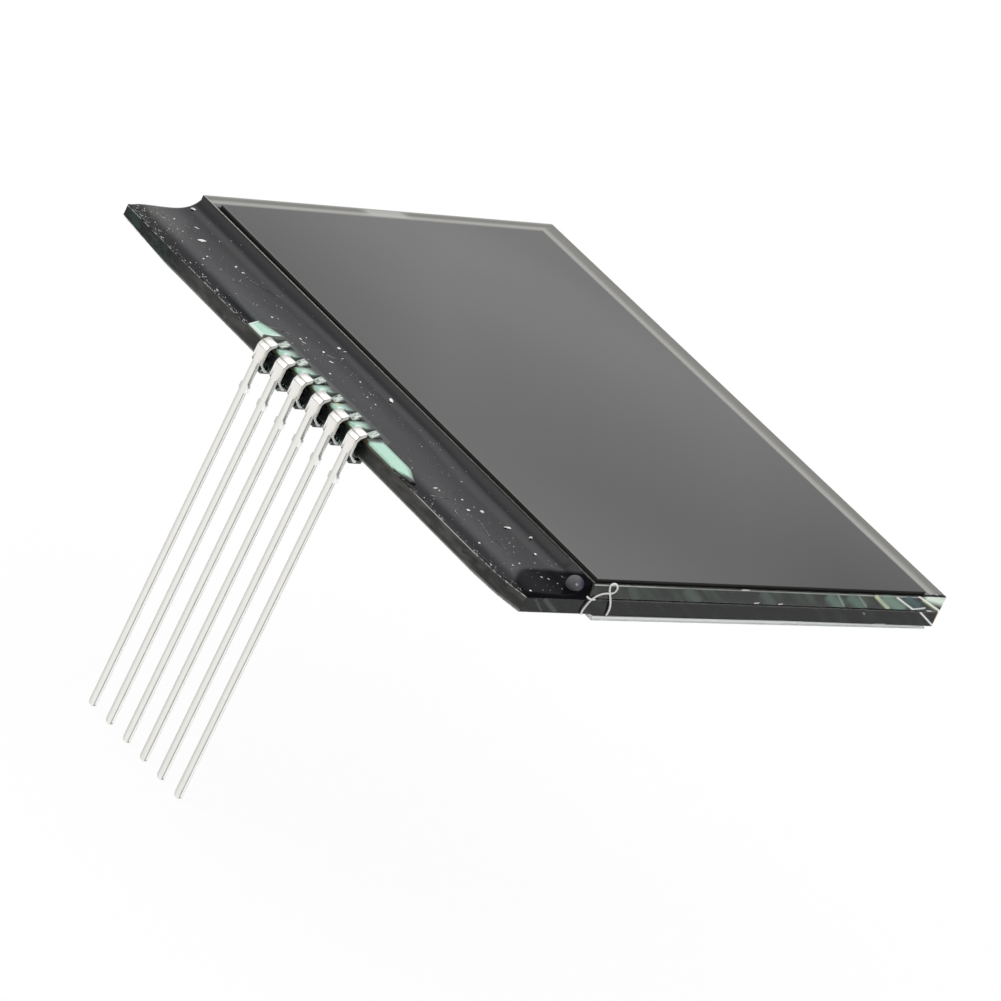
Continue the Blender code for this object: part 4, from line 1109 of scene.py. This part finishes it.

# %% [markdown]
# ### Its colour
# The grain of the strip runs along the shank and across the finger. Painted shade darkens each shank
# towards its side away from us, a band past the first crease and a line at the back of each narrow
# side, while a painted highlight makes the narrow sides bright. The jaws and the toe lie in the shade
# of the glass and the wet glue, so that shade is painted nearly black there, with a few painted green
# glints.

# %% Tin finish
wear_and_shade_noise = tin.noise(2.0, 3.0, 0.6)
drawn = tin.noise(3.0, 3.0, 0.6, stretch=(4.0, 4.0, 0.5))
rolled = tin.noise(3.0, 3.0, 0.6, stretch=(5.0, 0.4, 5.0))
grain = upper * rolled + (1.0 - upper) * drawn
damp = tin.noise(3.0, 3.0, 0.6, stretch=(1.0, 4.0, 1.0)).step(0.35, 0.55)
green_glints = tin.noise(4.0, 3.0, 0.6).step(0.55, 0.64)
crease_shades = []
for place, width, strength in CREASE_SHADE_LINES:
    line = distance((x, z), place).fall(width * 0.4, width)
    crease_shades.append((line * strength, (0.2, 0.16, 0.13)))
# painted shade: crease lines, the shank towards its side away from us, the arrises, the back of each narrow
# side and a band past the first crease; the bright narrow side of the shank is a painted highlight, and the
# shade of the jaws is painted nearly black with painted green glints
colour = tin.layered(
    (0.80, 0.79, 0.75),
    (grain, (0.93, 0.92, 0.89)),
    *crease_shades,
    (shank * toward_us.fall(-0.31, 0.02) * 0.9, (0.58, 0.58, 0.55)),
    (arris_shade * (1.0 - narrow_side) * (wear_and_shade_noise * 0.5 + 0.45), (0.25, 0.24, 0.21)),
    (narrow_side * shank, (0.98, 0.98, 0.96)),
    (back_shade_line * 0.8, (0.25, 0.26, 0.24)),
    (shade_past_crease * 0.4, (0.4, 0.39, 0.36)),
    (warm * 0.5, (0.86, 0.80, 0.66)),
    (toe, tin.mix(damp, (0.05, 0.075, 0.065), (0.5, 0.56, 0.51))),
    (shade * 0.97, tin.mix(green_glints, (0.012, 0.016, 0.014), (0.45, 0.6, 0.53))),
)
tin.set(Base_Color=colour)
tin.set(Metallic=1.0 - toe.either(shade) * 0.7)
tin.set(Roughness=wear_and_shade_noise * 0.2 + 0.22)
tin.set(Normal=tin.bump(grain, 0.4, 0.02))
# a matt pale surface laid on the narrow sides as a painted highlight
lit_side_paint = narrow_side * (1.0 - shade) * z.step(-3.3, -2.9) * 0.95
tin.lay(lit_side_paint, tin.mix(grain, (0.94, 0.94, 0.9), (1.0, 1.0, 0.97)), Roughness=0.4)
print("tin nodes:", len(tin.tree.nodes))

# %% [markdown]
# ### The pins themselves
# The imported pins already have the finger, the plate, the jaws and the shank. A copy of each is kept
# as it is but for the notch, which ends a little lower, and the jaws, which bend less before they
# turn in under the glass.

# %% Pins
JAW_CONTACT = -5.0
JAW_LOWEST = -2.65
JAW_STRAIGHTEN = 0.16


def lower_jaws(bm, middle):
    """Moves the notch of one pin down, and straightens the bend of its two jaws."""
    for vert in bm.verts:
        if vert.co.z > NOTCH_Z + 0.3 or vert.co.z < SHOULDER[1] or vert.co.x > JAW_CONTACT:
            continue
        drop = NOTCH_Z - JAW_LOWEST
        if abs(vert.co.y - middle) > SHANK_HALF + 0.02:
            along = soft((NOTCH_Z + 0.05 - vert.co.z) / drop)
            share = min(max((NOTCH_Z - vert.co.z) / drop, 0.0), 1.0)
            vert.co.x += JAW_STRAIGHTEN * 4.0 * share * (1.0 - share)
            vert.co.z -= NOTCH_DROP * (1.0 - along)
        elif vert.co.z > NOTCH_Z - 0.1:
            vert.co.z -= NOTCH_DROP


for number, middle in enumerate(PIN_YS, 1):
    node = f"contact_pin_{number}"
    pin = cad_copy(node)
    lower_jaws(pin, middle)
    print(node, "has", len(pin.faces), "faces")
    add_piece(f"tin_pin_{number}", pin, tin, (node,), 34.0)

# %% [markdown]
# ## Mint adhesive
# The bead that locks the clips is an ultraviolet-cured resin with a mint green dye. It wets the
# fingers and climbs the far side of each clip in a drop, and it runs into a wedge past one end of
# the row and a tongue past the other. Where it is thick it looks milky, and where it thins out or
# turns down the edge of the glass it looks black and wet.

# %% Adhesive shape
GLUE_OUTLINE = [
    (-6.6, 14.4), (-5.75, 13.2), (-5.5, 11.95), (-5.22, 11.75), (-4.45, 13.29), (-4.42, 15.9),
    (-3.85, 16.3), (-3.85, 27.9), (-4.2, 29.2), (-4.85, 29.97), (-6.6, 29.5),
]
GLUE_TOP = 0.32
GLUE_EDGE = 0.45
GLUE_LOW = (-5.845, 11.6)
GLUE_HIGH = (-3.75, 30.1)
THIN_SHARE = 0.45  # of its level, close beside a finger
DROP_RISE = 0.2
DROP_PLACE = (-5.7, 0.6)  # the second counts from the middle line of its pin
DROP_SPREAD = (0.45, 0.34)


def glue_point(u, v):
    x = GLUE_LOW[0] + u * (GLUE_HIGH[0] - GLUE_LOW[0])
    y = GLUE_LOW[1] + v * (GLUE_HIGH[1] - GLUE_LOW[1])
    depth = inside_distance(x, y, GLUE_OUTLINE)
    if depth < 0.0:
        return (x, y, REAR_TOP + 0.02)
    thin = 1.0 - min(depth / GLUE_EDGE, 1.0)
    level = 0.03 + GLUE_TOP * (1.0 - thin * thin)
    beside = min(abs(y - pin_y) for pin_y in PIN_YS)
    level *= THIN_SHARE + (1.0 - THIN_SHARE) * soft(beside, 0.42, 0.6)
    for pin_y in PIN_YS:
        away = ((x - DROP_PLACE[0]) / DROP_SPREAD[0]) ** 2
        away += ((y - pin_y - DROP_PLACE[1]) / DROP_SPREAD[1]) ** 2
        level += DROP_RISE * math.exp(-away)
    level += 0.02 * noise.noise(Vector((x * 1.5, y * 1.5, 3.0)))
    return (x, y, REAR_TOP + level)


# %% [markdown]
# ### Where the dye shows
# One mask says where the resin is thick enough for its dye to show: the wedge, the tongue, and in
# each gap the side next to the following clip, while the rest of each gap is left dark as painted
# shade. Painted shade also darkens a zone close beside each finger.

# %% Adhesive masks
WEDGE_TIP = (-4.86, 29.9)
mint = Finish("pin_adhesive_finish").set(Roughness=0.14, IOR=1.5)
x, y, z = mint.axes()
flow = mint.noise(0.8, 3.0, 0.6, stretch=(0.4, 1.5, 1.0))
past_tip = x - WEDGE_TIP[0]
inner_side = past_tip * -1.93 + WEDGE_TIP[1] - y + (flow - 0.5) * 0.9
end_side = past_tip * 0.377 + WEDGE_TIP[1] - y
wedge = inner_side.step(-0.3, 1.5) * end_side.step(-0.05, 0.15) * y.step(27.95, 28.2)
tongue_side = (y - (x + 5.25).maths("ABSOLUTE") * 1.6).step(11.9, 12.6)
tongue = x.fall(-4.75, -4.5) * y.fall(15.9, 16.3) * tongue_side
offset = from_pin(y, 0.0)
in_row = y.between(16.8, 17.0, 27.4, 27.7)
# the side of each gap next to the following clip shows the dye; the rest is left dark as painted shade
gap = offset.between(0.3, 0.5, 1.0, 1.55) * in_row * (x + flow * 0.8).fall(-4.9, -4.0)
level = z.step(-1.02, -0.9)
dye = (wedge.either(tongue, gap) * level).clamped()
# painted shade beside each finger
shade_beside_finger = from_pin(y, PIN_PITCH / 2).near(0.0, 0.52, 0.66) * x.between(-5.5, -5.3, -4.4, -4.1)
shade_beside_finger = shade_beside_finger * y.between(16.3, 16.4, 27.7, 27.8)

# %% [markdown]
# ### Its colours
# The green is uneven, with a painted glow that makes it palest where it meets a clip. The dark resin
# down the edge carries faint painted streaks of reflection, brownish stains and painted green
# glints. Painted white highlights follow the rims of the wedge, and one small amber spot sits in
# the row.

# %% Adhesive finish
# a painted glow, palest where the gap meets a clip
glow_corner = gap * offset.fall(0.55, 0.9) * x.fall(-5.6, -5.1)
green = mint.layered((0.36, 0.62, 0.48), (flow, (0.47, 0.71, 0.59)), (glow_corner, (0.75, 0.9, 0.84)))
outside = x.fall(-5.8, -5.72)
# a faint painted streak of reflection down the dark resin, and painted green glints below it
streak_reflection = offset.near(1.0, 0.05, 0.3) * (mint.noise(2.2, 3.0, stretch=(1.0, 1.0, 0.4)) + 0.2)
green_glints = mint.noise(5.0, 3.0, 0.6).step(0.52, 0.62) * z.fall(-2.3, -1.95) * outside
dark = mint.layered(
    (0.006, 0.009, 0.008),
    (mint.noise(2.0, 2.0), (0.02, 0.028, 0.024)),
    (outside * streak_reflection, (0.05, 0.054, 0.066)),
    (outside * z.step(-1.35, -0.95) * 0.8, (0.07, 0.065, 0.03)),
    (green_glints * 0.8, (0.4, 0.6, 0.52)),
)
# painted white highlights along the rims of the wedge
rim = (x + 5.84).fall(0.02, 0.14) * level * y.step(28.0, 28.2) * inner_side.step(0.4, 1.0)
near_line = y.near(28.12, 0.03, 0.09) * x.fall(-4.6, -4.2) * level
end_line = end_side.near(0.0, 0.05, 0.22) * x.fall(-5.0, -4.7) * level
spot = distance((x, y), (-5.38, 20.42)).fall(0.1, 0.28)
colour = mint.layered(
    dark,
    (dye, green),
    (rim.either(near_line, end_line) * 0.75, (0.82, 0.9, 0.87)),
    (spot * 0.8, (0.5, 0.45, 0.12)),
    (shade_beside_finger * 0.9, (0.012, 0.022, 0.018)),
)
mint.set(Base_Color=colour)
mint.set(Normal=mint.bump(mint.noise(2.5, 2.0), 0.3, 0.02))
dress("pin_adhesive", mint)
glue_skin = skin(44, 370, glue_point, REAR_TOP + 0.006)
add_piece("glue_skin", glue_skin, mint, (), 70.0)
